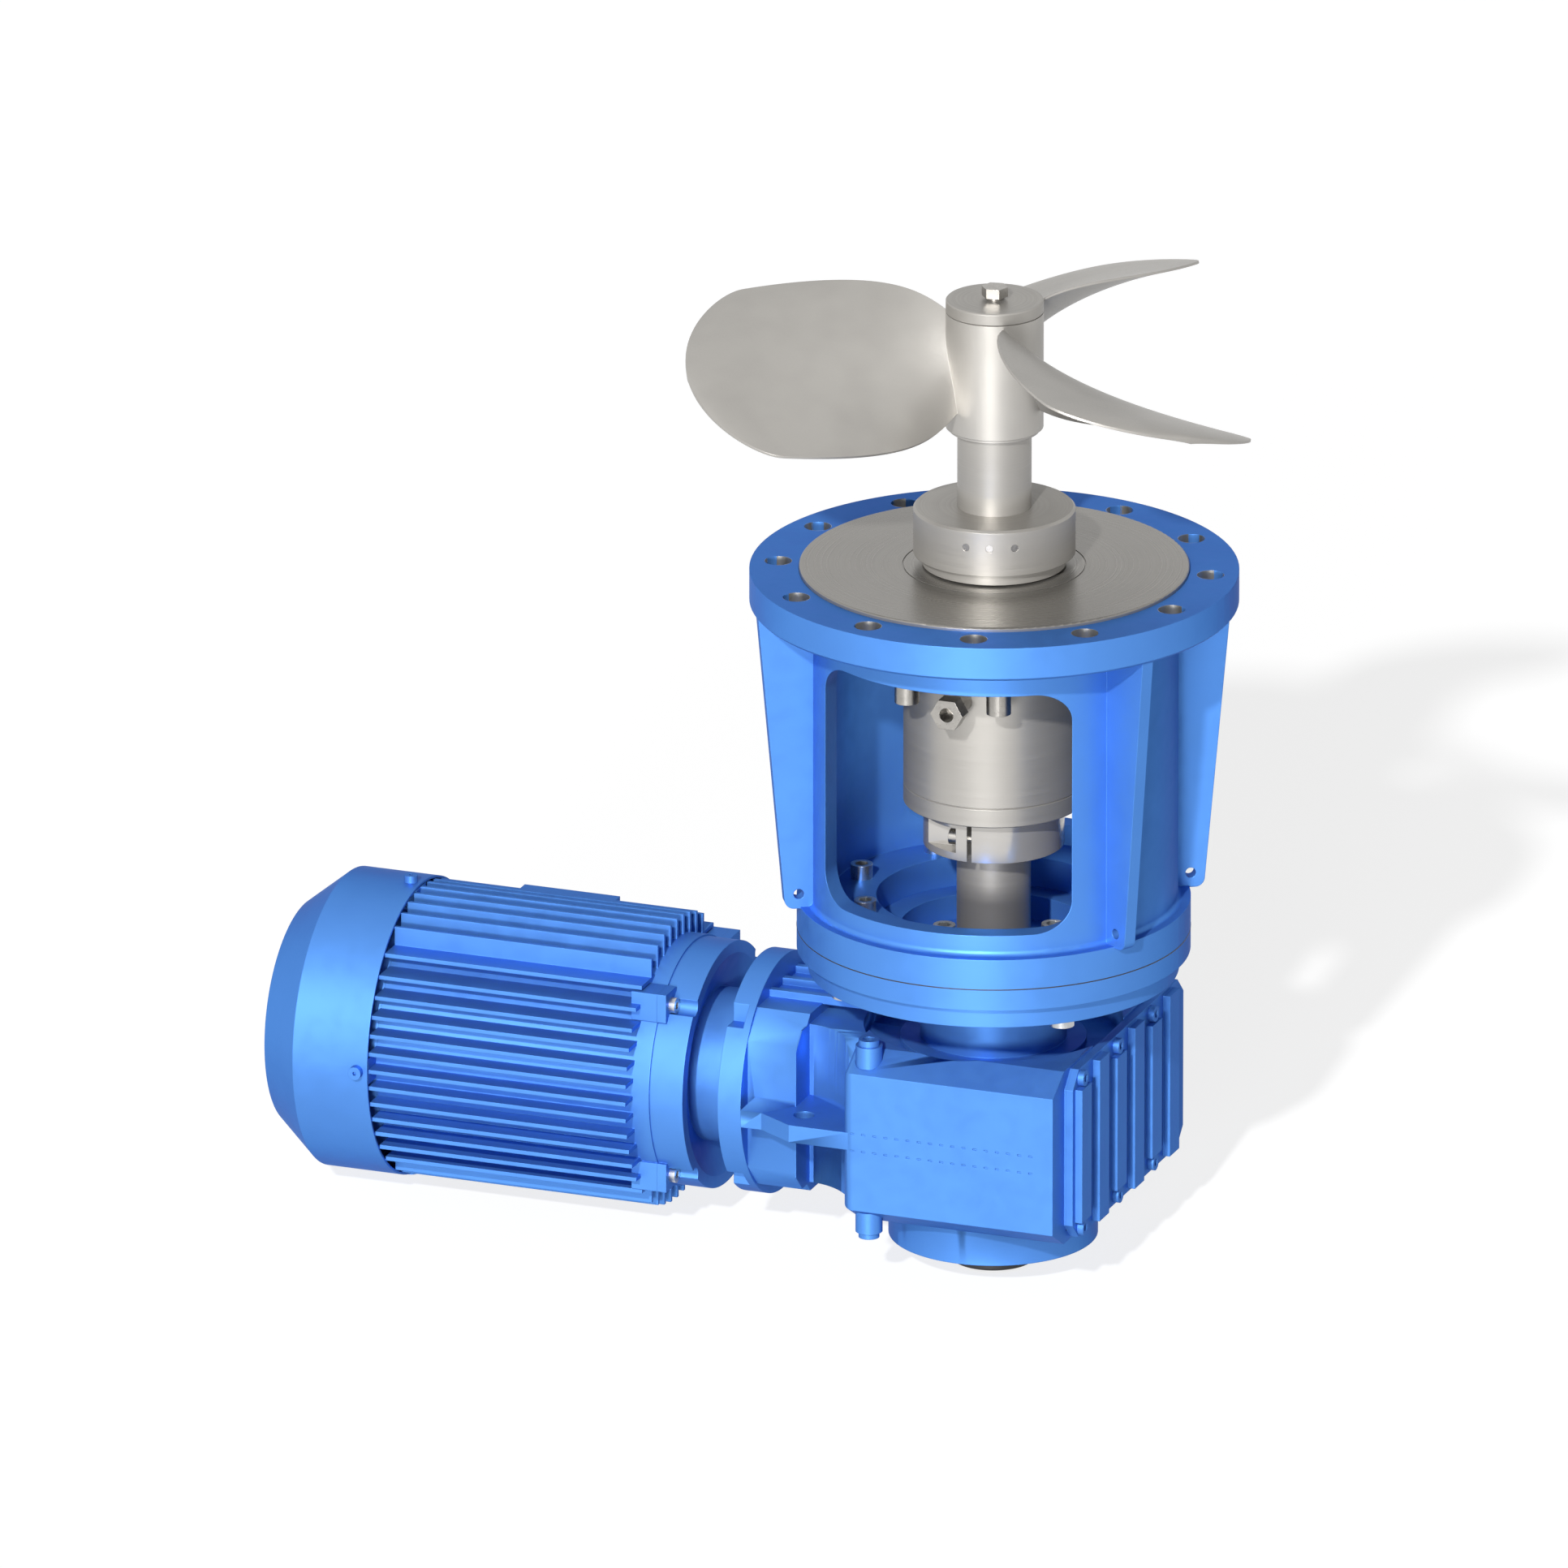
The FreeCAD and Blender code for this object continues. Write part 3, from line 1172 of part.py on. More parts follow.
def make_counter_stage():
    """Countershaft with its pinion and bevel wheel between the output and the motor side."""
    at = (COUNTER_X, BEVEL_AXIS, LEVEL)
    teeth = int(size("counter_teeth"))
    bearing = math.degrees(math.atan2(size(BEVEL_AXIS), size(COUNTER_X)))
    phase = bearing + 180 + 180 / teeth
    lift = -size("output_mid_drop") - size("counter_face") / 2
    pinion = gear(teeth, size("output_module"), size("counter_face"), 0, lift)
    half = size("throat_room_half + small_bearing_wide - seat_gap")
    diameter = size("counter_shaft_dia")
    post = Part.makeCylinder(diameter / 2, 2 * half, Vector(0, 0, -half))
    spacer = Part.makeCylinder(size("counter_shaft_dia / 2 + 4"), size("throat_room_half") * 2 - 2,
                               Vector(0, 0, 1 - size("throat_room_half")))
    pinion.rotate(Vector(), Vector(0, 0, 1), mesh_phase(teeth, int(size("output_teeth")), bearing))
    shaft = pinion.fuse([post, spacer])
    wheel = bevel_gear(int(size("wheel_teeth")), int(size("bevel_teeth")), size("bevel_module"),
                       size("bevel_face"), size("counter_shaft_dia + 8"), 10)
    keep(shaped("countershaft", shaft, at), shaped("bevel_wheel", wheel, at))
    bearing_pair("counter_bearing", "small_bearing_dia", "counter_shaft_dia",
                 "small_bearing_wide", ("throat_room_half", "-throat_room_half - small_bearing_wide"),
                 at)


def mesh_phase(teeth, mate, bearing):
    """Return the turn that sets a gear's space on its mate's tooth across the given bearing.

    The mate has a tooth at angle zero and lies at the opposite of the bearing.
    """
    step = 360 / mate
    offset = (bearing / step - round(bearing / step)) * step
    return bearing + 180 + 180 / teeth + offset * mate / teeth


def make_bevel_stage():
    """Bevel pinion shaft with the helical gear on its motor end."""
    turn = Rotation(Vector(0, 1, 0), -90)
    at = (COUNTER_X, BEVEL_AXIS, LEVEL)
    teeth = int(size("bevel_teeth"))
    pinion = bevel_gear(teeth, int(size("wheel_teeth")), size("bevel_module"),
                        size("bevel_face"), 0, 4)
    start = size(APEX_REACH) + 4
    end = size(f"block_left + {COUNTER_X} - 1")
    rod_part = Part.makeCylinder(size("bevel_shaft_dia / 2"), end - start + 2,
                                 Vector(0, 0, start - 2))
    shaft = shaped("bevel_pinion_shaft", pinion.fuse(rod_part), at, turn)
    wheel = gear(int(size("helical_teeth")), size("input_module"), size("input_face"),
                 size("bevel_shaft_dia"), 0)
    helical = shaped("helical_gear", wheel, ("-block_left + 1", BEVEL_AXIS, LEVEL), TO_X)
    keep(shaft, helical)
    bearing_pair("pinion_bearing", "pinion_bearing_dia", "bevel_shaft_dia", "pinion_bearing_wide",
                 ("0", "pinion_bearing_wide"),
                 ("-block_left + input_room_deep", BEVEL_AXIS, LEVEL), TO_X)


MOTOR = ("0", "motor_offset", LEVEL)


def fin_box(sketch, across, sign, upright):
    """Draw one cooling fin from inside the shell to the round envelope of the tips."""
    inner = f"{sign}(sqrt((stator_dia / 2)^2 - ({across})^2) - 3)"
    tip = f"{sign}sqrt((fin_tip_dia / 2)^2 - ({across})^2)"
    low = f"{across} - fin_thick / 2"
    high = f"{across} + fin_thick / 2"
    corners = [(inner, low), (tip, low), (tip, high), (inner, high)]
    if upright:
        corners = [(b, a) for a, b in corners]
    outline(sketch, corners)


def make_stator():
    """Finned stator frame with its lugs, the core inside it and the drive end shield."""
    part = body("stator_frame")
    shell = sketch_on(part, "shell", "YZ_Plane", "-stator_left")
    disc(shell, "0", "0", "stator_dia")
    disc(shell, "0", "0", "core_dia")
    pad(part, shell, "stator_left - shield_left")
    half = int(size("fin_count")) // 2
    for name, upright in (("side_fins", False), ("top_fins", True)):
        fins = sketch_on(part, name, "YZ_Plane", "-stator_left + fin_inset")
        count = half + 2 if not upright else half
        for index in range(-count, count + 1):
            for sign in ("", "-"):
                fin_box(fins, f"fin_pitch * {index}", sign, upright)
        pad(part, fins, "stator_left - shield_left - fin_inset - fin_end")
    lugs = sketch_on(part, "lugs", "YZ_Plane", "-shield_left")
    for angle in around(4, 45):
        y = f"lug_circle / 2 * cos({angle})"
        z = f"lug_circle / 2 * sin({angle})"
        box_outline(lugs, f"{y} - lug_size / 2", f"{y} + lug_size / 2",
                    f"{z} - lug_size / 2", f"{z} + lug_size / 2")
    pad(part, lugs, "lug_long", reverse=True)
    place(part, MOTOR)

    terminal = sketch_on(part, "terminal_seat", "YZ_Plane", "-core_mid - box_long / 2")
    outline(terminal, [
        ("stator_dia / 2 - 6", "-box_high / 2"), ("terminal_foot", "-box_high / 2"),
        ("terminal_foot", "box_high / 2"), ("stator_dia / 2 - 6", "box_high / 2")])
    clear = sketch_on(part, "terminal_clear", "YZ_Plane", "-core_mid - box_long / 2")
    outline(clear, [
        ("stator_dia / 2", "-box_high / 2"), ("fin_tip_dia", "-box_high / 2"),
        ("fin_tip_dia", "box_high / 2"), ("stator_dia / 2", "box_high / 2")])
    pocket(part, clear, "box_long", reverse=True)
    pad(part, terminal, "box_long")
    top = sketch_on(part, "top_pad", "YZ_Plane", "-top_pad_left")
    outline(top, [("top_pad_front", "stator_dia / 2 - 10"), ("top_pad_back", "stator_dia / 2 - 10"),
                  ("top_pad_back", "top_pad_high"), ("top_pad_front", "top_pad_high")])
    pad(part, top, "top_pad_long")

    shield = body("motor_end_shield")
    face = "-shield_right - shield_dish"
    turned("motor_end_shield", [
        ("motor_bearing_dia / 2", "-input_disc_left"), ("neck_ring_dia / 2", "-input_disc_left"),
        ("neck_ring_dia / 2", face), ("shield_dia / 2 - shield_wall", "-shield_right"),
        ("shield_dia / 2", "-shield_right"), ("shield_dia / 2", "-shield_left"),
        ("shield_dia / 2 - shield_wall", "-shield_left"),
        ("shield_dia / 2 - shield_wall", f"{face} - shield_web"),
        ("motor_bearing_dia / 2", f"{face} - shield_web")], MOTOR, TO_X, shield)
    lug_plate = sketch_on(shield, "lugs", "XY_Plane", "-shield_left")
    for angle in around(4, 45):
        across = f"lug_circle / 2 * cos({angle})"
        along = f"lug_circle / 2 * sin({angle})"
        box_outline(lug_plate, f"{across} - lug_size / 2", f"{across} + lug_size / 2",
                    f"{along} - lug_size / 2", f"{along} + lug_size / 2")
    pad(shield, lug_plate, "lug_plate")
    turned("motor_end_shield", [
        ("0", "-shield_left - 1"), ("shield_dia / 2 - shield_wall", "-shield_left - 1"),
        ("shield_dia / 2 - shield_wall", f"{face} - shield_web"),
        ("0", f"{face} - shield_web")], piece=shield, cut=True)
    holes(shield, "screw_holes", "lug_circle", 4, "lug_screw_dia + seat_gap", start=45,
          lift="-shield_left + lug_plate", length="lug_plate + 1")
    holes(shield, "spot_faces", "lug_circle", 4, "lug_head_dia + 2", start=45,
          lift="-shield_right", length="shield_left - shield_right - lug_plate")
    screw = make_screw("lug_screw", "lug_screw_dia", "lug_head_dia", "lug_head_high",
                       "lug_plate - 0.5", "6")
    spots = [(("-shield_left + lug_plate", f"motor_offset + lug_circle / 2 * cos({angle})",
               f"{LEVEL} + lug_circle / 2 * sin({angle})"), TO_X) for angle in around(4, 45)]
    keep(part, shield, group("motor_lug_screws", screw, spots))

    core = ring("stator_core", "core_dia", "rotor_dia + air_gap * 2",
                "-core_mid - core_long / 2", "-core_mid + core_long / 2", MOTOR, TO_X)
    winding = ring("winding", "winding_dia", "rotor_dia + 14", "0", "winding_long")
    windings = group("stator_windings", winding, [
        (("-core_mid + core_long / 2", "motor_offset", LEVEL), TO_X),
        (("-core_mid - core_long / 2 - winding_long", "motor_offset", LEVEL), TO_X)])
    keep(core, windings)


def make_rotor():
    """Rotor with its shaft, bearings, fan and the pinion that drives the gearbox."""
    shaft = rod("rotor_shaft", [
        ("0", "-fan_left - 3"), ("motor_shaft_dia", "-input_disc_left"),
        ("pinion_shaft_dia", "-block_left - 1"), ("pinion_seat_dia", "-block_left + input_face + 1")],
        MOTOR, TO_X)
    rotor = ring("rotor_core", "rotor_dia", "motor_shaft_dia", "-core_mid - core_long / 2",
                 "-core_mid + core_long / 2", MOTOR, TO_X)
    bearing_pair("motor_bearing", "motor_bearing_dia", "motor_shaft_dia", "motor_bearing_wide",
                 ("-input_disc_left - motor_bearing_wide - 1",
                  "-stator_left - motor_bearing_wide"), MOTOR, TO_X)
    pinion = gear(int(size("pinion_teeth")), size("input_module"), size("input_face"),
                  size("pinion_seat_dia"), 0, 90 + 180 / size("pinion_teeth"))
    drive = shaped("motor_pinion", pinion, ("-block_left + 1", "motor_offset", LEVEL), TO_X)
    fan = turned("cooling_fan", [
        ("motor_shaft_dia / 2", "-fan_left"), ("fan_hub_dia / 2", "-fan_left"),
        ("fan_hub_dia / 2", "-fan_right - fan_plate"), ("fan_dia / 2", "-fan_right - fan_plate"),
        ("fan_dia / 2", "-fan_right"), ("motor_shaft_dia / 2", "-fan_right")], MOTOR, TO_X)
    blades = sketch_on(fan, "blades", "XY_Plane", "-fan_left")
    outline(blades, [("fan_hub_dia / 2 - 2", "-fan_plate / 2"), ("fan_dia / 2", "-fan_plate / 2"),
                     ("fan_dia / 2", "fan_plate / 2"), ("fan_hub_dia / 2 - 2", "fan_plate / 2")])
    blade = pad(fan, blades, "fan_left - fan_right - 1")
    polar = fan.newObject("PartDesign::PolarPattern", "fan_blades")
    polar.Originals = [blade]
    polar.Axis = (origin_feature(fan, "Z_Axis"), [""])
    polar.Angle = 360
    polar.Occurrences = int(size("fan_blades"))
    fan.Tip = polar
    keep(shaft, rotor, drive, fan)


def make_rear_end():
    """Rear end shield with cowl lugs, the fan cowl with its grille and its screws."""
    shield = turned("rear_end_shield", [
        ("motor_bearing_dia / 2", "-stator_left - rear_shield_thick"),
        ("stator_dia / 2", "-stator_left - rear_shield_thick"), ("stator_dia / 2", "-stator_left"),
        ("motor_bearing_dia / 2", "-stator_left")], MOTOR, TO_X)
    arms = sketch_on(shield, "arms", "XY_Plane", "-stator_left")
    reach = "cowl_dia / 2 - cowl_wall - arm_gap"
    for angle in around(4, 0):
        along = (math.cos(math.radians(angle)), math.sin(math.radians(angle)))
        low = "stator_dia / 2 - 4"
        corners = [(low, "-arm_wide / 2"), (reach, "-arm_wide / 2"), (reach, "arm_wide / 2"),
                   (low, "arm_wide / 2")]
        outline(arms, [(f"({a}) * {along[0]:.0f} - ({b}) * {along[1]:.0f}",
                        f"({a}) * {along[1]:.0f} + ({b}) * {along[0]:.0f}") for a, b in corners])
    pad(shield, arms, "rear_shield_thick", reverse=True)
    wall = "cowl_wall"
    cowl = turned("fan_cowl", [
        ("cowl_dia / 2 - cowl_wall", "-stator_left"), ("cowl_dia / 2", "-stator_left"),
        ("cowl_dia / 2", "-cowl_cone_left"), ("cowl_end_dia / 2", "-cowl_left"),
        ("0", "-cowl_left"), ("0", f"-cowl_left + {wall}"),
        (f"cowl_end_dia / 2 - {wall}", f"-cowl_left + {wall}"),
        ("cowl_dia / 2 - cowl_wall", "-cowl_cone_left")], MOTOR, TO_X)
    for index, row in enumerate((("grille_inner", 8), ("grille_middle", 12), ("grille_outer", 16))):
        holes(cowl, f"grille{index}", f"{row[0]} * 2", row[1], "grille_hole", lift="-cowl_left",
              length="cowl_wall * 2", reverse=True)
    middle = "-stator_left - rear_shield_thick / 2"
    for plane in ("XZ_Plane", "YZ_Plane"):
        bore = sketch_on(cowl, f"screw_holes_{plane[:2]}", plane)
        disc(bore, "0", middle, "cowl_screw_dia + seat_gap")
        pocket(cowl, bore, both=True)
    screw = make_screw("cowl_screw", "cowl_screw_dia", "cowl_head_dia", "cowl_screw_dia",
                       "cowl_wall + arm_gap / 2", "3")
    spots = []
    for angle in around(4, 0):
        swing = Rotation(Vector(1, 0, 0), angle)
        spots.append(((middle, f"motor_offset - cowl_dia / 2 * sin({angle})",
                       f"{LEVEL} + cowl_dia / 2 * cos({angle})"), swing))
    keep(shield, cowl, group("cowl_screws", screw, spots))


def make_terminal_box():
    """Terminal box with its lid, lid screws and a blank plug in its cable entry."""
    inner = "motor_offset + terminal_foot"
    case = body("terminal_box")
    walls = sketch_on(case, "walls", "XZ_Plane", "-terminal_foot")
    box_outline(walls, "-box_long / 2", "box_long / 2", "-box_high / 2", "box_high / 2")
    pad(case, walls, "box_deep", reverse=True)
    hollow = sketch_on(case, "hollow", "XZ_Plane", "-terminal_foot - box_deep")
    box_outline(hollow, "-box_long / 2 + terminal_wall", "box_long / 2 - terminal_wall",
                "-box_high / 2 + terminal_wall", "box_high / 2 - terminal_wall")
    pocket(case, hollow, "box_deep - terminal_wall", reverse=True)
    entry = sketch_on(case, "entry", "XY_Plane", "-box_high / 2")
    disc(entry, "0", "terminal_foot + box_deep / 2", "entry_dia")
    pocket(case, entry, "terminal_wall + 1", reverse=True)
    place(case, ("-core_mid", "motor_offset", LEVEL))
    lid = body("terminal_box_lid")
    panel = sketch_on(lid, "panel", "XZ_Plane", "-terminal_foot - box_deep")
    box_outline(panel, "-box_long / 2", "box_long / 2", "-box_high / 2", "box_high / 2",
                "lid_corner")
    pad(lid, panel, "lid_thick", reverse=True)
    bores = sketch_on(lid, "screw_holes", "XZ_Plane", "-terminal_foot - box_deep - lid_thick")
    for side in ("-", ""):
        for up in ("-", ""):
            disc(bores, f"{side}(box_long / 2 - lid_inset)", f"{up}(box_high / 2 - lid_inset)",
                 "lid_screw_dia + seat_gap")
    pocket(lid, bores, "lid_thick + 1", reverse=True)
    place(lid, ("-core_mid", "motor_offset", LEVEL))
    plug = rod("cable_entry_plug", [
        ("0", "-entry_head"), ("entry_dia + 8", "0"), ("entry_dia", "terminal_wall")],
        at=("-core_mid", f"{inner} + box_deep / 2", f"{LEVEL} - box_high / 2"))
    screw = make_screw("lid_screw", "lid_screw_dia", "lid_screw_dia * 2", "lid_screw_dia * 0.6",
                       "lid_thick - 0.5", "2.5")
    spots = []
    for side in ("-", ""):
        for up in ("-", ""):
            spots.append(((f"-core_mid + {side}(box_long / 2 - lid_inset)",
                           f"{inner} + box_deep + lid_thick",
                           f"{LEVEL} + {up}(box_high / 2 - lid_inset)"),
                          Rotation(Vector(1, 0, 0), -90)))
    keep(case, lid, plug, group("lid_screws", screw, spots))


def make_input_flange():
    """Disc that joins the motor to the gearbox's input block, with its screws."""
    flange = ring("input_flange", "input_disc_dia", "input_disc_bore", "-input_disc_left",
                  "-input_disc_right", MOTOR, TO_X)
    notches = sketch_on(flange, "notches", "XY_Plane", "-input_disc_left")
    for angle in around(4, 45):
        across = f"(input_disc_dia / 2) * cos({angle})"
        along = f"(input_disc_dia / 2) * sin({angle})"
        box_outline(notches, f"{across} - notch_size / 2", f"{across} + notch_size / 2",
                    f"{along} - notch_size / 2", f"{along} + notch_size / 2")
    pocket(flange, notches, "input_disc_left - input_disc_right - 6", reverse=True)
    keep(flange)

PROPELLER_ANGLE = 210.4
GRUB_ANGLES = (270, 287, 305)

keep(make_lantern(), make_seal_plate())
make_seal_cartridge()
make_clamp_ring()
make_shaft()
hub_key = make_propeller()
make_adapter()
make_housing()
make_plugs()
make_rear_cover()
make_bottom_cover()
drive_key = make_output_stage()
make_counter_stage()
make_bevel_stage()
make_input_flange()
make_stator()
make_rotor()
make_rear_end()
make_terminal_box()
keep(together("shaft_keys", hub_key, drive_key), together("bearing_outer_rings", *outer_rings))

doc.recompute()


def check(item):
    """Stop when an object of the document has failed or has no sound shape."""
    if {"Invalid", "Error"} & set(item.State):
        raise RuntimeError(f"{item.Label} failed: {item.State}")


for item in doc.Objects:
    check(item)
os.makedirs("parts", exist_ok=True)
for piece in pieces:
    shape = piece.Shape
    if shape.isNull() or not shape.isValid() or not shape.Solids:
        raise RuntimeError(f"{piece.Label} has no sound solid")
    shape.exportStep(f"parts/{piece.Label}.step")
    print(f"{piece.Label}: {len(shape.Solids)} solids, {shape.Volume / 1000:.1f} cm3")
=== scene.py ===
import logging
import math
from dataclasses import dataclass
from enum import Enum
from typing import Any

import bmesh
import bpy
from mathutils import Matrix, Vector


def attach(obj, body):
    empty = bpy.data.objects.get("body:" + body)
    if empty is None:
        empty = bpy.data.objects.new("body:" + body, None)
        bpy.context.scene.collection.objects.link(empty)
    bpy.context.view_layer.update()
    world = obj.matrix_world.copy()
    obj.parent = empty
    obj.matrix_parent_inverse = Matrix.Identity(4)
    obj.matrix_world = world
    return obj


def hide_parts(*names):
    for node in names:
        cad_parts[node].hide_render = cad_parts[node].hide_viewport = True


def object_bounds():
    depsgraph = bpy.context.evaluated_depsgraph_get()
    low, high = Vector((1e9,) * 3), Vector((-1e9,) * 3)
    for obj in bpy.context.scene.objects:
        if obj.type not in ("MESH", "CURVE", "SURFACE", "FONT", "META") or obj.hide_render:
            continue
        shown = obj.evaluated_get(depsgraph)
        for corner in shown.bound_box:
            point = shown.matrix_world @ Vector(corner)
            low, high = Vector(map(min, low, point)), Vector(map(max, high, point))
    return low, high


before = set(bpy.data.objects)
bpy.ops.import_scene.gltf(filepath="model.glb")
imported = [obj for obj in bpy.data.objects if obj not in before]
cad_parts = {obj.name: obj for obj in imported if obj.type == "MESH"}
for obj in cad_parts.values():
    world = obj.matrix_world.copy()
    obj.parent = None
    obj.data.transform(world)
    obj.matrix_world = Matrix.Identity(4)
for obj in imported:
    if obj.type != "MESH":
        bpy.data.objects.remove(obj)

# Looks of a bottom-entry agitator: propeller, seal cartridge, lantern, gearbox and motor.
# Metres. The origin is the centre of the mounting flange's top face and +Z runs up the shaft.

CAD_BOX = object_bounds()
MM = 0.001
METRE_MM = 1000.0
# The frame's meshes repeat a corner for each face, and closer corners than this are the same one.
WELD_DISTANCE = 0.000002
# Faces that meet at less than this are shaded as one, with the large faces ruling their normals.
SMOOTH_ANGLE = math.radians(19.0)
FACE_WEIGHT = 100
# The Mix node has sockets for every kind of data, and these are its colour ones.
MIX_FROM, MIX_TO, MIX_RESULT = 6, 7, 2
log = logging.getLogger("agitator")


def to_linear(colour: str) -> tuple[float, float, float, float]:
    """Turn an sRGB hex colour into linear light.

    Args:
        colour: The colour as "#RRGGBB".

    Returns:
        Red, green, blue and an alpha of 1.
    """
    parts = [int(colour[at:at + 2], 16) / 255 for at in (1, 3, 5)]
    lit = [part / 12.92 if part <= 0.04045 else ((part + 0.055) / 1.055) ** 2.4 for part in parts]
    return (lit[0], lit[1], lit[2], 1.0)


def add_node(tree: bpy.types.NodeTree, kind: str, values: dict[Any, Any] | None = None,
             links: dict[Any, Any] | None = None, **settings: Any) -> bpy.types.Node:
    """Add one shader node with its settings, values and links.

    Args:
        tree: The node tree that takes the node.
        kind: The node's type without the "ShaderNode" in front.
        values: Input values by input name or number.
        links: Output sockets that feed inputs, by input name or number.
        **settings: The node's own fields, such as its operation.

    Returns:
        The new node.
    """
    node = tree.nodes.new("ShaderNode" + kind)
    for name, value in settings.items():
        setattr(node, name, value)
    for name, value in (values or {}).items():
        node.inputs[name].default_value = value
    for name, socket in (links or {}).items():
        tree.links.new(socket, node.inputs[name])
    return node


class Axle(Enum):
    """The straight lines that turned pieces are made round: a point on each, and its direction."""

    SHAFT = ((0.0, 0.0, 0.0), 2)
    MOTOR = ((0.0, 0.010, -0.4585), 0)
    COUNTER = ((-0.0938, 0.052, 0.0), 2)
    PINION = ((0.0, 0.052, -0.4585), 0)


def axle_coordinates(tree: bpy.types.NodeTree, axle: Axle, scale: float) -> bpy.types.NodeSocket:
    """Give a turned piece's radius and length as a pattern's two coordinates.

    Args:
        tree: The material's node tree.
        axle: The line that the piece is turned round.
        scale: How many pattern cells there are to a metre.

    Returns:
        A vector socket with the radius, the length along the axle and nought.
    """
    centre, along = axle.value
    place = add_node(tree, "TexCoord").outputs["Object"]
    shifted = add_node(tree, "VectorMath", {1: centre}, {0: place}, operation="SUBTRACT")
    parts = add_node(tree, "SeparateXYZ", links={0: shifted.outputs[0]})
    flat = (1.0, 1.0, 0.0) if along == 2 else (0.0, 1.0, 1.0)
    across = add_node(tree, "VectorMath", {1: flat}, {0: shifted.outputs[0]}, operation="MULTIPLY")
    radius = add_node(tree, "VectorMath", links={0: across.outputs[0]}, operation="LENGTH")
    pair = add_node(tree, "CombineXYZ", links={0: radius.outputs["Value"], 1: parts.outputs[along]})
    grown = add_node(tree, "VectorMath", {"Scale": scale}, {0: pair.outputs[0]}, operation="SCALE")
    return grown.outputs[0]


class Surface:
    """A material with one principled shader, whose patterns are laid on it one after another."""

    # The parts of a cloudy pattern's range that are spread over a change of roughness or colour.
    ROUGHNESS_BAND = (0.3, 0.7)
    COLOUR_BAND = (0.4, 0.7)
    EDGE_SAMPLES = 4

    def __init__(self, name: str, colour: str, metallic: float, roughness: float) -> None:
        """Make the material with its plain values.

        Args:
            name: The material's name.
            colour: Its base colour as sRGB hex.
            metallic: 1 for clean bare metal, 0 for anything else, and between for a mixed surface.
            roughness: The plain roughness, which patterns vary.
        """
        self.material = bpy.data.materials.new(name)
        self.material.use_nodes = True
        self.tree = self.material.node_tree
        self.shader = self.tree.nodes["Principled BSDF"]
        self.shader.inputs["Base Color"].default_value = to_linear(colour)
        self.shader.inputs["Metallic"].default_value = metallic
        self.shader.inputs["Roughness"].default_value = roughness
        self.roughness = roughness
        self.place = add_node(self.tree, "TexCoord").outputs["Object"]
        self.relief = None

    def gloss(self, specular: float = 0.5, coat: float = 0.0, coat_roughness: float = 0.1,
              anisotropy: float = 0.0) -> None:
        """Set the values that stay the same all over the surface.

        Args:
            specular: The specular level.
            coat: The clear coat's weight.
            coat_roughness: The clear coat's roughness.
            anisotropy: How far highlights are drawn out along the tool's marks.
        """
        self.shader.inputs["Specular IOR Level"].default_value = specular
        self.shader.inputs["Coat Weight"].default_value = coat
        self.shader.inputs["Coat Roughness"].default_value = coat_roughness
        self.shader.inputs["Anisotropic"].default_value = anisotropy

    def cells(self, size_mm: float, detail: float = 2.0,
              place: bpy.types.NodeSocket | None = None) -> bpy.types.NodeSocket:
        """Return a cloudy pattern whose cells have a real size.

        Args:
            size_mm: The cells' size in millimetres, or METRE_MM where place counts in cells.
            detail: How many finer octaves it has.
            place: The coordinates, or the object's own where none are given.

        Returns:
            The pattern's factor, around one half.
        """
        pattern = add_node(self.tree, "TexNoise", {"Scale": METRE_MM / size_mm, "Detail": detail},
                           {"Vector": place or self.place})
        return pattern.outputs["Fac"]

    def vary_roughness(self, factor: bpy.types.NodeSocket, spread: float) -> None:
        """Let a pattern move the roughness up and down by the spread."""
        low, high = self.ROUGHNESS_BAND
        span = add_node(self.tree, "MapRange",
                        {"From Min": low, "From Max": high, "To Min": self.roughness - spread,
                         "To Max": self.roughness + spread}, {"Value": factor})
        self.tree.links.new(span.outputs[0], self.shader.inputs["Roughness"])

    def vary_colour(self, factor: bpy.types.NodeSocket, other: str, share: float) -> None:
        """Blend the base colour toward another one by a pattern.

        Args:
            factor: The pattern, around one half.
            other: The other colour as sRGB hex.
            share: How much of the other colour there is at the pattern's peaks.
        """
        base = self.shader.inputs["Base Color"]
        low, high = self.COLOUR_BAND
        span = add_node(self.tree, "MapRange", {"From Min": low, "From Max": high, "To Max": share},
                        {"Value": factor})
        blend = add_node(self.tree, "Mix",
                         {MIX_FROM: base.default_value[:], MIX_TO: to_linear(other)},
                         {0: span.outputs[0]}, data_type="RGBA")
        self.tree.links.new(blend.outputs[MIX_RESULT], base)

    def emboss(self, factor: bpy.types.NodeSocket, height_mm: float, strength: float = 0.5) -> None:
        """Raise the surface a little where a pattern is high, on top of earlier relief.

        Args:
            factor: The pattern.
            height_mm: How high its peaks stand, in millimetres.
            strength: How much of that height is taken.
        """
        bump = add_node(self.tree, "Bump", {"Distance": height_mm * MM, "Strength": strength},
                        {"Height": factor})
        if self.relief:
            self.tree.links.new(self.relief, bump.inputs["Normal"])
        self.relief = bump.outputs["Normal"]
        self.tree.links.new(self.relief, self.shader.inputs["Normal"])

    def round_edges(self, radius_mm: float) -> None:
        """Catch the light along edges as a small real radius does."""
        edge = add_node(self.tree, "Bevel", {"Radius": radius_mm * MM},
                        samples=self.EDGE_SAMPLES)
        self.relief = edge.outputs["Normal"]
        self.tree.links.new(self.relief, self.shader.inputs["Normal"])


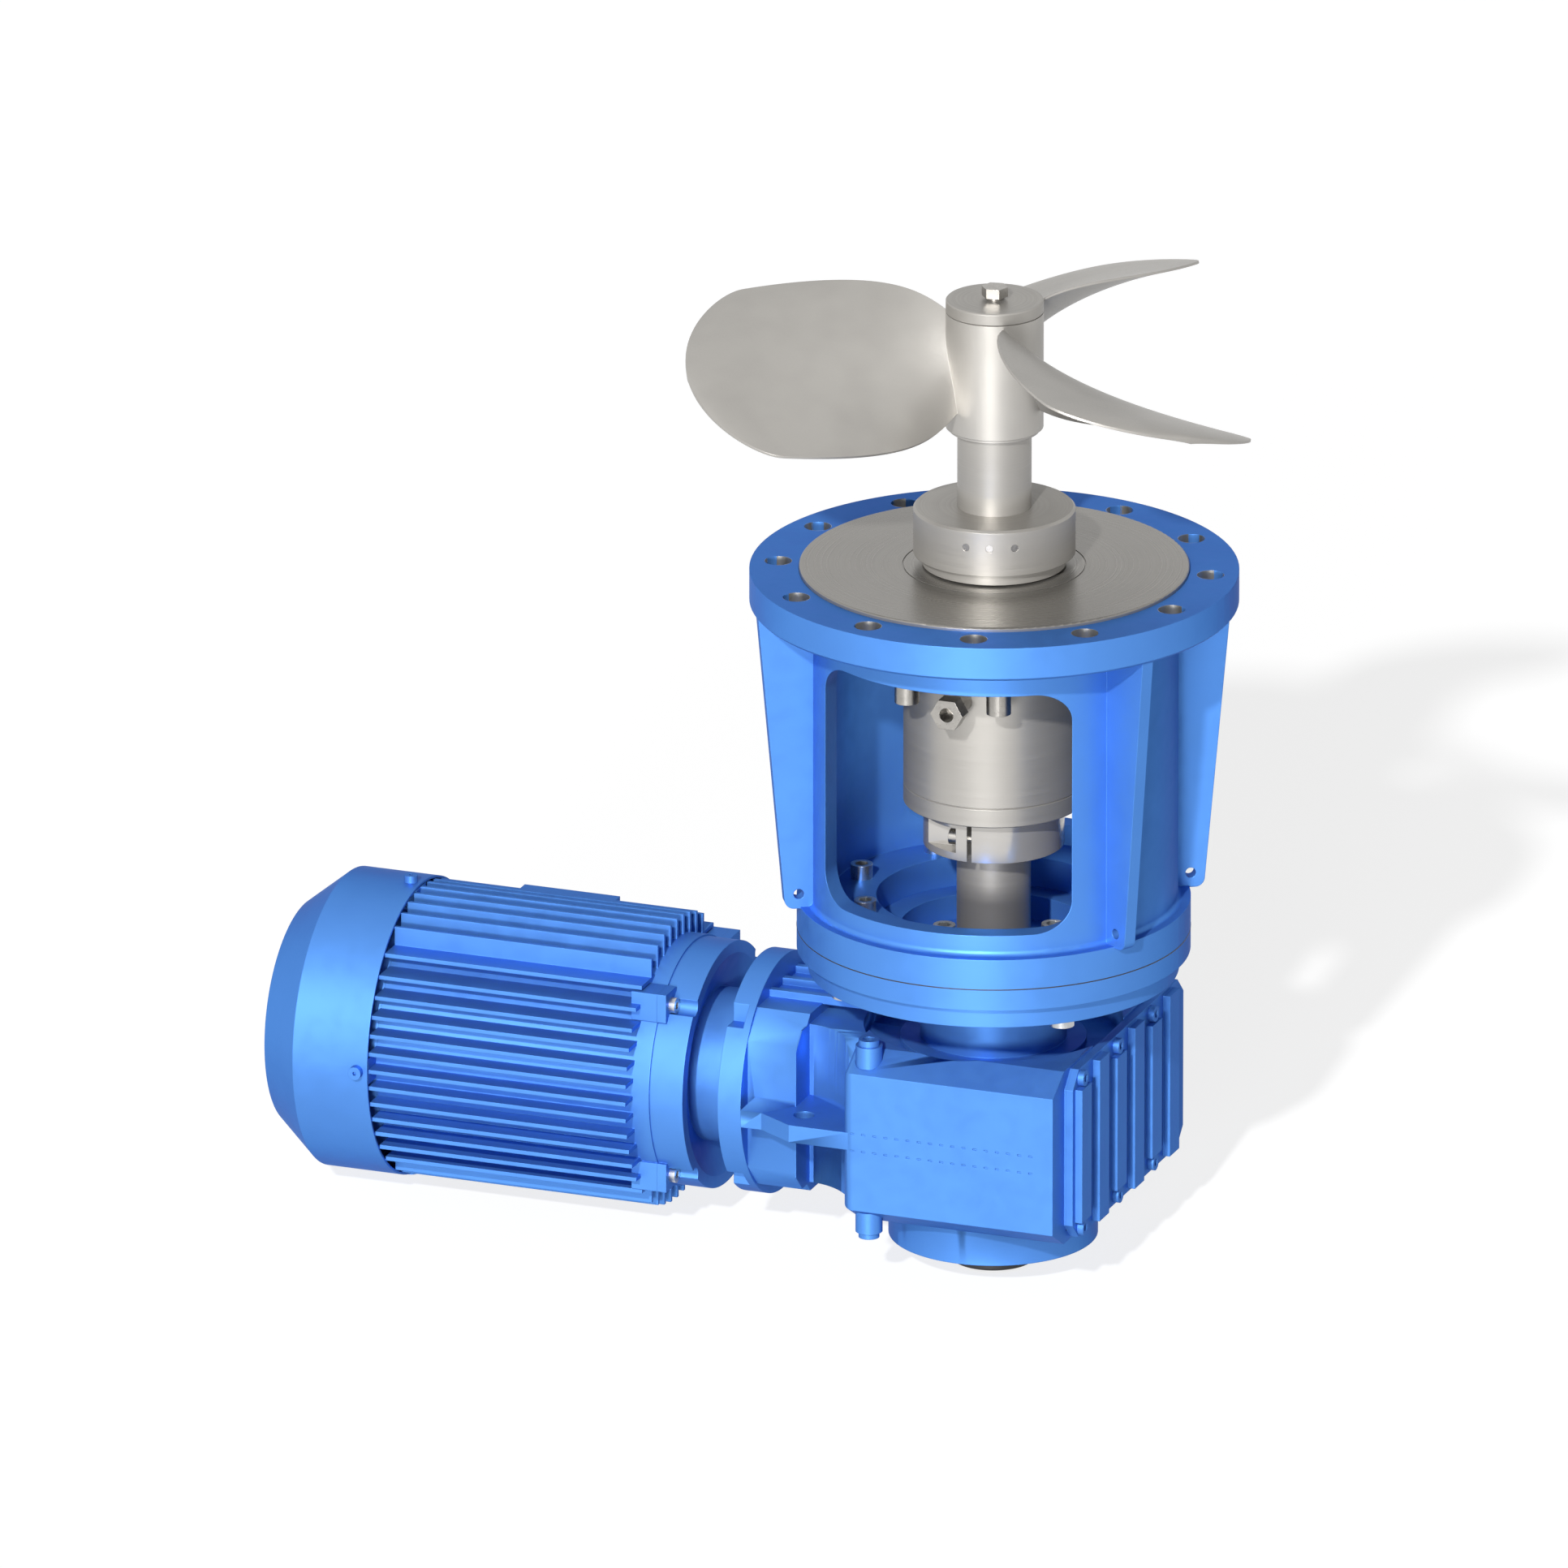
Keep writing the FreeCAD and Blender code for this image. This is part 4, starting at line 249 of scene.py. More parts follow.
@dataclass(frozen=True)
class DrilledIron:
    """Cast iron that a drill leaves bare in the bolt holes of a painted flange."""

    # Pale and bright where the drill went through the enamel.
    colour: str = "#B9B7B2"
    metallic: float = 1.0
    roughness: float = 0.38
    holes: int = 12
    circle_radius: float = 0.175
    # A twentieth of a millimetre past the real hole, so that its wall lies inside.
    hole_radius: float = 0.01105

    def drill(self, coat: Surface) -> None:
        """Leave the walls of the bolt holes bare. They stand half a pitch off the axes.

        Args:
            coat: The enamel's surface.
        """
        tree = coat.tree
        pitch = 2 * math.pi / self.holes
        parts = add_node(tree, "SeparateXYZ", links={0: coat.place})
        turn = add_node(tree, "Math", links={0: parts.outputs[1], 1: parts.outputs[0]},
                        operation="ARCTAN2")
        sector = add_node(tree, "Math", {1: pitch}, {0: turn.outputs[0]},
                          operation="FLOORED_MODULO")
        swing = add_node(tree, "Math", {1: pitch / 2}, {0: sector.outputs[0]},
                         operation="SUBTRACT")
        across = add_node(tree, "VectorMath", {1: (1.0, 1.0, 0.0)}, {0: coat.place},
                          operation="MULTIPLY")
        reach = add_node(tree, "VectorMath", links={0: across.outputs[0]}, operation="LENGTH")
        side = add_node(tree, "Math", links={0: swing.outputs[0], 1: reach.outputs["Value"]},
                        operation="MULTIPLY")
        out = add_node(tree, "Math", {1: self.circle_radius}, {0: reach.outputs["Value"]},
                       operation="SUBTRACT")
        pair = add_node(tree, "CombineXYZ", links={0: side.outputs[0], 1: out.outputs[0]})
        gap = add_node(tree, "VectorMath", links={0: pair.outputs[0]}, operation="LENGTH")
        inside = add_node(tree, "Math", {1: self.hole_radius}, {0: gap.outputs["Value"]},
                          operation="LESS_THAN")
        bare = add_node(tree, "BsdfPrincipled",
                        {"Base Color": to_linear(self.colour), "Metallic": self.metallic,
                         "Roughness": self.roughness})
        mixed = add_node(tree, "MixShader",
                         links={0: inside.outputs[0], 1: coat.shader.outputs[0],
                                2: bare.outputs[0]})
        tree.links.new(mixed.outputs[0], tree.nodes["Material Output"].inputs[0])


@dataclass(frozen=True)
class SprayedEnamel:
    """Blue two-pack enamel with metal flake, sprayed on cast iron."""

    # A closed film with a broad cyan sheen from its flakes. The casting's ripple and grain show
    # through it a little, and its colour and sheen drift slowly as the spray laid them.
    name: str = "sprayed_blue_enamel"
    colour: str = "#4F84CC"
    deep: str = "#4575BC"
    tint: str = "#2F62B0"
    metallic: float = 0.6
    roughness: float = 0.46
    specular: float = 0.1
    drift_mm: float = 70.0
    drift_share: float = 0.25
    mist_mm: float = 14.0
    mist_spread: float = 0.05
    ripple_mm: float = 9.0
    ripple_height_mm: float = 0.12
    grain_mm: float = 2.4
    grain_height_mm: float = 0.08
    relief: float = 0.2
    edge_mm: float = 0.9
    bare: DrilledIron | None = None

    def make(self) -> bpy.types.Material:
        """Return the material."""
        coat = Surface(self.name, self.colour, self.metallic, self.roughness)
        coat.gloss(specular=self.specular)
        coat.shader.inputs["Specular Tint"].default_value = to_linear(self.tint)
        coat.vary_colour(coat.cells(self.drift_mm), self.deep, self.drift_share)
        coat.vary_roughness(coat.cells(self.mist_mm), self.mist_spread)
        coat.round_edges(self.edge_mm)
        coat.emboss(coat.cells(self.ripple_mm, detail=1.0), self.ripple_height_mm, self.relief)
        coat.emboss(coat.cells(self.grain_mm, detail=3.0), self.grain_height_mm, self.relief)
        if self.bare:
            self.bare.drill(coat)
        return coat.material


@dataclass(frozen=True)
class TurnedSteel:
    """Steel turned on a lathe, with its fine rings."""

    # Rings of the tool's feed: 0.2 mm on the real part, drawn 0.9 mm wide so that they show.
    # They draw highlights out along the axle, and handling dulls the steel in broad patches.
    name: str
    colour: str
    axle: Axle = Axle.SHAFT
    metallic: float = 0.65
    roughness: float = 0.42
    anisotropy: float = 0.25
    ring_mm: float = 0.9
    ring_height_mm: float = 0.02
    ring_spread: float = 0.05
    relief: float = 0.25
    patch: str = "#6E6C69"
    patch_mm: float = 45.0
    patch_share: float = 0.12
    edge_mm: float = 0.6

    def make(self) -> bpy.types.Material:
        """Return the material."""
        steel = Surface(self.name, self.colour, self.metallic, self.roughness)
        steel.gloss(anisotropy=self.anisotropy)
        turned = axle_coordinates(steel.tree, self.axle, METRE_MM / self.ring_mm)
        rings = steel.cells(METRE_MM, detail=1.0, place=turned)
        steel.vary_roughness(rings, self.ring_spread)
        steel.vary_colour(steel.cells(self.patch_mm), self.patch, self.patch_share)
        steel.round_edges(self.edge_mm)
        steel.emboss(rings, self.ring_height_mm, self.relief)
        return steel.material


@dataclass(frozen=True)
class GroundCasting:
    """Stainless casting ground and blasted to an even satin, as on the propeller."""

    # The belt leaves soft upright streaks, and the casting's waviness stays under them.
    name: str = "ground_stainless_casting"
    colour: str = "#A8A5A0"
    metallic: float = 0.65
    roughness: float = 0.42
    streak_mm: float = 1.4
    streak_squeeze: tuple[float, float, float] = (1.0, 1.0, 0.06)
    streak_spread: float = 0.04
    streak_height_mm: float = 0.02
    wave_mm: float = 35.0
    wave_height_mm: float = 0.3
    relief: float = 0.2
    patch: str = "#7C7975"
    patch_mm: float = 60.0
    patch_share: float = 0.2
    edge_mm: float = 0.6

    def make(self) -> bpy.types.Material:
        """Return the material."""
        steel = Surface(self.name, self.colour, self.metallic, self.roughness)
        stretched = add_node(steel.tree, "Mapping", {"Scale": self.streak_squeeze},
                             {"Vector": steel.place})
        streaks = steel.cells(self.streak_mm, place=stretched.outputs[0])
        steel.vary_roughness(streaks, self.streak_spread)
        steel.vary_colour(steel.cells(self.patch_mm), self.patch, self.patch_share)
        steel.round_edges(self.edge_mm)
        steel.emboss(steel.cells(self.wave_mm, detail=1.0), self.wave_height_mm, self.relief)
        steel.emboss(streaks, self.streak_height_mm, self.relief)
        return steel.material


@dataclass(frozen=True)
class MilledSteel:
    """Steel pieces with milled, ground or plated faces, such as gears, keys and screws."""

    # A fine even grain from the cutter, with a thin film of oil or zinc that dulls it in patches.
    name: str
    colour: str
    film: str
    metallic: float = 1.0
    roughness: float = 0.32
    film_mm: float = 6.0
    film_share: float = 0.35
    grain_mm: float = 0.8
    grain_height_mm: float = 0.02
    grain_spread: float = 0.06
    relief: float = 0.3
    edge_mm: float = 0.4

    def make(self) -> bpy.types.Material:
        """Return the material."""
        steel = Surface(self.name, self.colour, self.metallic, self.roughness)
        steel.vary_colour(steel.cells(self.film_mm), self.film, self.film_share)
        grain = steel.cells(self.grain_mm, detail=3.0)
        steel.vary_roughness(grain, self.grain_spread)
        steel.round_edges(self.edge_mm)
        steel.emboss(grain, self.grain_height_mm, self.relief)
        return steel.material


@dataclass(frozen=True)
class StackedLaminations:
    """Electrical sheet punched and stacked into the motor's cores."""

    # Sheets of 0.5 mm show as lines across the stack, drawn 9.4 mm apart so that they show: the
    # node's wave has 20 radians to a unit, and radian_mm is the length of one.
    name: str = "stacked_electrical_sheet"
    colour: str = "#5E5F63"
    groove: str = "#3A3B3E"
    groove_share: float = 0.6
    groove_depth_mm: float = 0.15
    relief: float = 0.5
    metallic: float = 0.9
    roughness: float = 0.5
    radian_mm: float = 1.5
    wave_radians: float = 20.0
    wobble: float = 0.3
    stain_mm: float = 3.0
    stain_spread: float = 0.08

    def make(self) -> bpy.types.Material:
        """Return the material."""
        iron = Surface(self.name, self.colour, self.metallic, self.roughness)
        lines = add_node(iron.tree, "TexWave",
                         {"Scale": METRE_MM / self.radian_mm / self.wave_radians,
                          "Distortion": self.wobble}, {"Vector": iron.place}, bands_direction="X")
        iron.vary_colour(lines.outputs["Fac"], self.groove, self.groove_share)
        iron.vary_roughness(iron.cells(self.stain_mm), self.stain_spread)
        iron.emboss(lines.outputs["Fac"], self.groove_depth_mm, self.relief)
        return iron.material


@dataclass(frozen=True)
class EnamelledWire:
    """Copper wire with a clear varnish, laid in bundles."""

    # Wires of 0.9 mm side by side, drawn 1.6 mm wide so that they show, under an amber varnish.
    name: str = "varnished_copper_wire"
    colour: str = "#B0602A"
    shade: str = "#6E3512"
    shade_share: float = 0.7
    metallic: float = 0.8
    roughness: float = 0.3
    varnish: float = 0.6
    varnish_roughness: float = 0.15
    wire_mm: float = 1.6
    wire_height_mm: float = 0.5
    relief: float = 0.8

    def make(self) -> bpy.types.Material:
        """Return the material."""
        wire = Surface(self.name, self.colour, self.metallic, self.roughness)
        wire.gloss(coat=self.varnish, coat_roughness=self.varnish_roughness)
        wound = axle_coordinates(wire.tree, Axle.MOTOR, METRE_MM / self.wire_mm)
        rings = wire.cells(METRE_MM, detail=0.0, place=wound)
        wire.vary_colour(rings, self.shade, self.shade_share)
        wire.emboss(rings, self.wire_height_mm, self.relief)
        return wire.material


@dataclass(frozen=True)
class MouldedPolymer:
    """Rubber or nylon from a mould, or lapped carbide, with a fine even grain."""

    # Spark-eroded moulds leave pits of about half a millimetre; rubber is duller than nylon.
    name: str
    colour: str
    pale: str
    roughness: float = 0.55
    bloom_mm: float = 8.0
    bloom_share: float = 0.3
    grain_mm: float = 0.7
    grain_height_mm: float = 0.06
    grain_spread: float = 0.08
    relief: float = 0.4

    def make(self) -> bpy.types.Material:
        """Return the material."""
        body = Surface(self.name, self.colour, 0.0, self.roughness)
        body.vary_colour(body.cells(self.bloom_mm), self.pale, self.bloom_share)
        grain = body.cells(self.grain_mm)
        body.vary_roughness(grain, self.grain_spread)
        body.emboss(grain, self.grain_height_mm, self.relief)
        return body.material


class Finishes:
    """Every finish of the agitator, each made once and shared by its pieces."""

    def __init__(self) -> None:
        """Make the materials."""
        self.enamel = SprayedEnamel().make()
        self.flange_enamel = SprayedEnamel(name="sprayed_blue_enamel_flange",
                                           bare=DrilledIron()).make()
        self.shaft_steel = TurnedSteel("turned_stainless_shaft", "#9C9994").make()
        self.plate_steel = TurnedSteel("faced_stainless_plate", "#86837E", ring_mm=1.2,
                                       roughness=0.3).make()
        self.propeller_steel = GroundCasting().make()
        self.polished_ring = TurnedSteel("polished_stainless_ring", "#B4B1AC",
                                         roughness=0.17).make()
        self.screw_steel = MilledSteel("zinc_plated_steel", "#C2C4C6", "#9FA2A4").make()
        self.stainless_screw = MilledSteel("machined_stainless_fitting", "#A5A29D",
                                           "#85827D").make()
        self.painted_screw = SprayedEnamel(name="brushed_over_enamel", ripple_mm=3.0,
                                           grain_mm=1.2, edge_mm=0.5).make()
        self.gear_steel = MilledSteel("ground_case_hardened_steel", "#8F9194", "#6B6255").make()
        self.bearing_steel = TurnedSteel("polished_bearing_steel", "#C9CBCD", roughness=0.14,
                                         ring_mm=0.6).make()
        self.motor_shaft = TurnedSteel("turned_motor_shaft", "#A4A6A8", Axle.MOTOR).make()
        self.spring_wire = MilledSteel("drawn_spring_wire", "#8A8784", "#6F6C69",
                                       roughness=0.25).make()
        self.core_iron = StackedLaminations().make()
        self.copper = EnamelledWire().make()
        self.rubber = MouldedPolymer("moulded_nitrile_rubber", "#1B1B1C", "#262627").make()
        self.nylon = MouldedPolymer("moulded_black_nylon", "#222325", "#2E2F31",
                                    roughness=0.42).make()
        self.carbide = MouldedPolymer("lapped_silicon_carbide", "#35373A", "#44474A",
                                      roughness=0.15, grain_mm=0.3).make()


class Body(Enum):
    """The bodies that pieces ride on."""

    FRAME = "frame"
    AGITATOR = "agitator"


class Slot(Enum):
    """Names of material slots, which no piece in this script takes its finish from."""

    PAINT = "blue_paint"
    RUBBER = "seal_rubber"
    STAINLESS = "stainless"


class Work(Enum):
    """What is done to a shape with another form."""

    JOIN = "UNION"
    CUT = "DIFFERENCE"


def new_piece(name: str, builder: bmesh.types.BMesh, material: bpy.types.Material, body: Body) -> bpy.types.Object:
    """Turn a built mesh into a piece that rides on a body.

    Args:
        name: The piece's name.
        builder: The mesh, which is freed here.
        material: The finish.
        body: The body that it rides on.

    Returns:
        The piece.
    """
    mesh = bpy.data.meshes.new(name)
    builder.to_mesh(mesh)
    builder.free()
    mesh.polygons.foreach_set("use_smooth", [True] * len(mesh.polygons))
    mesh.set_sharp_from_angle(angle=SMOOTH_ANGLE)
    mesh.materials.append(material)
    piece = bpy.data.objects.new(name, mesh)
    shading = piece.modifiers.new("even_shading", "WEIGHTED_NORMAL")
    shading.keep_sharp = True
    shading.weight = FACE_WEIGHT
    bpy.context.scene.collection.objects.link(piece)
    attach(piece, body.value)
    log.info("piece %s: %d faces", name, len(mesh.polygons))
    return piece


def turn_profile(builder: bmesh.types.BMesh, corners: list[tuple[float, float]],
                 steps: int) -> None:
    """Turn a closed outline round the shaft's axle.

    Args:
        builder: The mesh that takes the ring.
        corners: Radius and height of each corner, in metres, in order.
        steps: How many facets go round.
    """
    rows = []
    for step in range(steps):
        turn = 2 * math.pi * step / steps
        rows.append([builder.verts.new((reach * math.cos(turn), reach * math.sin(turn), height))
                     for reach, height in corners])
    count = len(corners)
    for row, after in zip(rows, rows[1:] + rows[:1]):
        for at in range(count):
            builder.faces.new((row[at], after[at], after[(at + 1) % count], row[(at + 1) % count]))


def block(low: tuple[float, float, float], high: tuple[float, float, float]) -> bmesh.types.BMesh:
    """Return a plain block between two corners, in metres."""
    builder = bmesh.new()
    middle = (Vector(low) + Vector(high)) / 2
    size = Matrix.Diagonal((*(Vector(high) - Vector(low)), 1.0))
    bmesh.ops.create_cube(builder, size=1.0, matrix=Matrix.Translation(middle) @ size)
    return builder


def node_shape(node: str) -> bmesh.types.BMesh:
    """Return a closed copy of a frame node's shape."""
    builder = bmesh.new()
    builder.from_mesh(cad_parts[node].data)
    bmesh.ops.remove_doubles(builder, verts=builder.verts, dist=WELD_DISTANCE)
    return builder


def worked(builder: bmesh.types.BMesh,
           forms: list[tuple[Work, bmesh.types.BMesh]]) -> bmesh.types.BMesh:
    """Join forms to a shape and cut forms out of it.

    Args:
        builder: The closed shape to work on, which is freed here.
        forms: Closed meshes in working order, each with its work. They are freed here.

    Returns:
        The finished shape.
    """
    bmesh.ops.recalc_face_normals(builder, faces=builder.faces)
    rough = bpy.data.meshes.new("rough")
    builder.to_mesh(rough)
    builder.free()
    blank = bpy.data.objects.new("blank", rough)
    bpy.context.scene.collection.objects.link(blank)
    tools = []
    for work, form in forms:
        bmesh.ops.recalc_face_normals(form, faces=form.faces)
        mesh = bpy.data.meshes.new("tool")
        form.to_mesh(mesh)
        form.free()
        tool = bpy.data.objects.new("tool", mesh)
        bpy.context.scene.collection.objects.link(tool)
        step = blank.modifiers.new("step", "BOOLEAN")
        step.object = tool
        step.operation = work.value
        step.solver = "EXACT"
        tools.append(tool)
    bpy.context.view_layer.update()
    seen = blank.evaluated_get(bpy.context.evaluated_depsgraph_get())
    result = bmesh.new()
    result.from_mesh(seen.to_mesh())
    seen.to_mesh_clear()
    for used in (blank, *tools):
        mesh = used.data
        bpy.data.objects.remove(used)
        bpy.data.meshes.remove(mesh)
    return result


def dress(names: list[str], material: bpy.types.Material) -> None:
    """Give frame nodes one finish.

    Args:
        names: The nodes' names.
        material: The finish.
    """
    for name in names:
        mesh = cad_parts[name].data
        mesh.materials.clear()
        mesh.materials.append(material)
        log.info("%s: %s", name, material.name)


@dataclass
class VesselSide:
    """Lantern casting with the vessel flange, and the plate that closes the vessel."""

    finishes: Finishes

    def build(self) -> None:
        """Dress the casting, its plate and its screws."""
        dress(["lantern"], self.finishes.flange_enamel)
        dress(["seal_plate"], self.finishes.plate_steel)
        dress(["lantern_screws"], self.finishes.screw_steel)


@dataclass
class SealCartridge:
    """Shaft seal in the lantern, with its housing, gland, clamp ring and springs."""

    finishes: Finishes

    def build(self) -> None:
        """Dress the cartridge."""
        finishes = self.finishes
        dress(["seal_housing", "gland_ring", "seal_sleeve", "spring_carrier"],
              finishes.shaft_steel)
        dress(["clamp_ring"], finishes.polished_ring)
        dress(["seal_housing_screws", "clamp_screw", "flush_port_nipple"],
              finishes.stainless_screw)
        dress(["rotating_seal_face", "stationary_seal_faces"], finishes.carbide)
        dress(["seal_springs"], finishes.spring_wire)


@dataclass
class Agitator:
    """Shaft, collar and propeller, whose blades are drawn finer than the frame's facets."""

    finishes: Finishes
    # Radius and height of the hub's corners, and two corners of the block that cuts the keyway.
    hub_outline: tuple[tuple[float, float], ...] = (
        (0.030, 0.1183), (0.0365, 0.1183), (0.0365, 0.1213), (0.0395, 0.1213), (0.0395, 0.2186),
        (0.030, 0.2186))
    hub_steps: int = 120
    keyway: tuple[tuple[float, float, float], ...] = (
        (0.020, -0.009, 0.130), (0.034, 0.009, 0.225))
    # The blades' places in degrees, then the values that the frame's blades come from.
    blade_turns: tuple[float, ...] = (210.4, 330.4, 90.4)
    root: float = 0.0365
    middle: float = 0.215
    reach: float = 0.250
    chord: float = 0.226
    root_chord: float = 0.080
    tip_chord: float = 0.008
    thick: float = 0.005
    root_thick: float = 0.013
    edge: float = 0.002
    pitch: float = 0.458
    camber: float = 0.02
    height: float = 0.177
    rake: float = -0.002
    sweep: float = -0.004
    # Rows of corners from root to tip, and facets across a blade.
    stations: int = 56
    shares: int = 28

    def blade_chord(self, part: float) -> float:
        """Return the blade's width at a share of its length."""
        widest = (self.middle - self.root) / (self.reach - self.root)
        if part > widest:
            fall = (part - widest) / (1 - widest)
            return max(self.tip_chord, self.chord * math.sqrt(max(0.0, 1 - fall ** 2)))
        return self.chord - (self.chord - self.root_chord) * (1 - part / widest) ** 2

    def blade_point(self, reach: float, share: float, side: int, turn: float) -> Vector:
        """Return one point of a blade, a cambered lens wrapped on cylinders.

        Args:
            reach: The cylinder's radius.
            share: The place along the chord, from -0.5 to 0.5.
            side: 1 on the upper face and -1 on the lower one.
            turn: The blade's own angle round the shaft, in radians.

        Returns:
            The point in metres.
        """
        part = (reach - self.root) / (self.reach - self.root)
        fullness = min(1.0, part * (self.reach - self.root) / (self.middle - self.root))
        chord = self.blade_chord(part)
        half = (self.root_thick * (1 - fullness) + self.thick * fullness) / 2
        slope = math.atan2(self.pitch, 2 * math.pi * reach)
        bulge = 1 - (2 * share) ** 2
        lip = self.edge / 2
        rise = side * (lip + (half - lip) * bulge) + self.camber * chord * bulge
        along = -share * chord * math.cos(slope) + rise * math.sin(slope)
        angle = turn + (along + self.sweep * part ** 2) / reach
        height = (self.height + self.rake * part ** 2 + share * chord * math.sin(slope)
                  + rise * math.cos(slope))
        return Vector((reach * math.cos(angle), reach * math.sin(angle), height))

    def blade(self, turn: float) -> bmesh.types.BMesh:
        """Return one closed blade at its angle round the shaft."""
        builder = bmesh.new()
        rows = []
        for station in range(self.stations + 1):
            reach = self.root + (self.reach - self.root) * math.sin(
                math.pi / 2 * station / self.stations)
            rows.append([[builder.verts.new(self.blade_point(reach, at / self.shares - 0.5, side,
                                                             turn))
                          for at in range(self.shares + 1)] for side in (1, -1)])
        for (upper, lower), (far_upper, far_lower) in zip(rows, rows[1:]):
            for near, far in ((upper, far_upper), (far_lower, lower)):
                for at in range(self.shares):
                    builder.faces.new((near[at], near[at + 1], far[at + 1], far[at]))
            for at in (0, -1):
                builder.faces.new((upper[at], far_upper[at], far_lower[at], lower[at]))
        for upper, lower in (rows[0], rows[-1]):
            for at in range(self.shares):
                builder.faces.new((upper[at], upper[at + 1], lower[at + 1], lower[at]))
        return builder

    def cast_propeller(self) -> None:
        """Cast the hub and its three blades in one piece."""
        hub = bmesh.new()
        turn_profile(hub, list(self.hub_outline), self.hub_steps)
        forms = [(Work.JOIN, self.blade(math.radians(turn))) for turn in self.blade_turns]
        forms.append((Work.CUT, block(*self.keyway)))
        propeller = new_piece("propeller_casting", worked(hub, forms),
                              self.finishes.propeller_steel, Body.AGITATOR)
        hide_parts("propeller")

    def build(self) -> None:
        """Dress the turning pieces above the gearbox and cast the propeller."""
        finishes = self.finishes
        self.cast_propeller()
        dress(["agitator_shaft", "shaft_collar", "hub_cap"], finishes.shaft_steel)
        dress(["hub_cap_screw", "collar_grub_screws"], finishes.stainless_screw)


@dataclass
class Gearbox:
    """Housing, covers, plugs and the gear train."""

    finishes: Finishes
    # The input's own level, which the recess and the seam marks lie above and below.
    level: float = -0.4585
    # The recess beside the input block: its form stands well past the housing at both ends.
    recess_corner: tuple[float, float] = (-0.139, -0.118)
    recess_wide: float = 0.054
    recess_deep: float = 0.065
    recess_end: float = 0.2
    recess_facets: int = 24
    # The foot strip and the short seam marks along its edges.
    strip_half: float = 0.0073
    seam_front: float = -0.1284
    seam_start: float = -0.074
    seam_pitch: float = 0.0096
    seam_dashes: int = 17
    dash_long: float = 0.0032
    dash_high: float = 0.0014
    dash_deep: float = 0.0009
    # Two corners of the wall that closes the cavity beside the rear cover's front edge.
    cover_wall: tuple[tuple[float, float, float], ...] = (
        (0.060, -0.1118, -0.525), (0.0988, -0.097, -0.413))
    # The gasket between the lantern's foot and the adapter, whose edge is squeezed out round.
    gasket_reach: float = 0.1593
    gasket_height: float = -0.3045
    gasket_half: float = 0.00045
    gasket_inset: float = 0.0004
    gasket_lip: float = 0.0001
    gasket_crown: float = 0.0002
    gasket_steps: int = 180

    def recess(self, low: float, high: float) -> bmesh.types.BMesh:
        """Return the hollow between the input block and the box, with its round wall.

        Args:
            low: Its lower end.
            high: Its upper end.

        Returns:
            The closed form to take away.
        """
        builder = bmesh.new()
        x, y = self.recess_corner
        outline = [(x, y - self.recess_deep), (x + self.recess_wide, y - self.recess_deep)]
        for step in range(self.recess_facets + 1):
            turn = math.pi / 2 * step / self.recess_facets
            outline.append((x + self.recess_wide * math.cos(turn),
                            y + self.recess_deep * math.sin(turn)))
        floor = builder.faces.new([builder.verts.new((px, py, low)) for px, py in outline])
        grown = bmesh.ops.extrude_face_region(builder, geom=[floor])
        moved = [item for item in grown["geom"] if isinstance(item, bmesh.types.BMVert)]
        bmesh.ops.translate(builder, verts=moved, vec=(0.0, 0.0, high - low))
        return builder

    def seam_marks(self) -> bmesh.types.BMesh:
        """Return the short marks of the mould's seams along both edges of the foot strip."""
        builder = bmesh.new()
        for side in (-1, 1):
            for index in range(self.seam_dashes):
                spot = Vector((self.seam_start + index * self.seam_pitch, self.seam_front,
                               self.level + side * self.strip_half))
                size = Matrix.Diagonal((self.dash_long, self.dash_deep * 2, self.dash_high, 1.0))
                bmesh.ops.create_cube(builder, size=1.0, matrix=Matrix.Translation(spot) @ size)
        return builder

    def recast_housing(self) -> None:
        """Rebuild the housing with its closed wall, the recess beside the block and seam marks."""
        near, far = self.strip_half, self.recess_end
        forms = [(Work.JOIN, block(*self.cover_wall)),
                 (Work.CUT, self.recess(self.level + near, self.level + far)),
                 (Work.CUT, self.recess(self.level - far, self.level - near)),
                 (Work.CUT, self.seam_marks())]
        housing = new_piece("gearbox_casting", worked(node_shape("gearbox_housing"), forms),
                            self.finishes.enamel, Body.FRAME)
        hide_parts("gearbox_housing")

    def lay_joint_gasket(self) -> None:
        """Lay the thin gasket whose dark edge shows between the lantern's foot and the adapter."""
        builder = bmesh.new()
        low, high = self.gasket_height - self.gasket_half, self.gasket_height + self.gasket_half
        inner, lip = self.gasket_reach - self.gasket_inset, self.gasket_reach + self.gasket_lip
        crown = (self.gasket_reach + self.gasket_crown, self.gasket_height)
        turn_profile(builder, [(inner, low), (lip, low), crown, (lip, high), (inner, high)],
                     self.gasket_steps)
        new_piece("foot_gasket_edge", builder, self.finishes.rubber, Body.FRAME)

    def build(self) -> None:
        """Dress the gearbox and build its own pieces."""
        finishes = self.finishes
        self.recast_housing()
        self.lay_joint_gasket()
        dress(["adapter_ring", "output_flange", "rear_cover", "input_flange", "cover_gasket",
               "bearing_cover"], finishes.enamel)
        dress(["oil_plugs", "rear_cover_screws"], finishes.painted_screw)
        dress(["output_flange_screws"], finishes.screw_steel)
        dress(["end_cap", "output_seals"], finishes.rubber)
        dress(["output_hollow_shaft", "output_wheel", "countershaft", "bevel_wheel",
               "bevel_pinion_shaft", "helical_gear", "shaft_keys", "motor_pinion"],
              finishes.gear_steel)
        dress(["bearing_outer_rings", "output_bearing_inner_rings",
               "counter_bearing_inner_rings", "pinion_bearing_inner_rings",
               "motor_bearing_inner_rings"], finishes.bearing_steel)


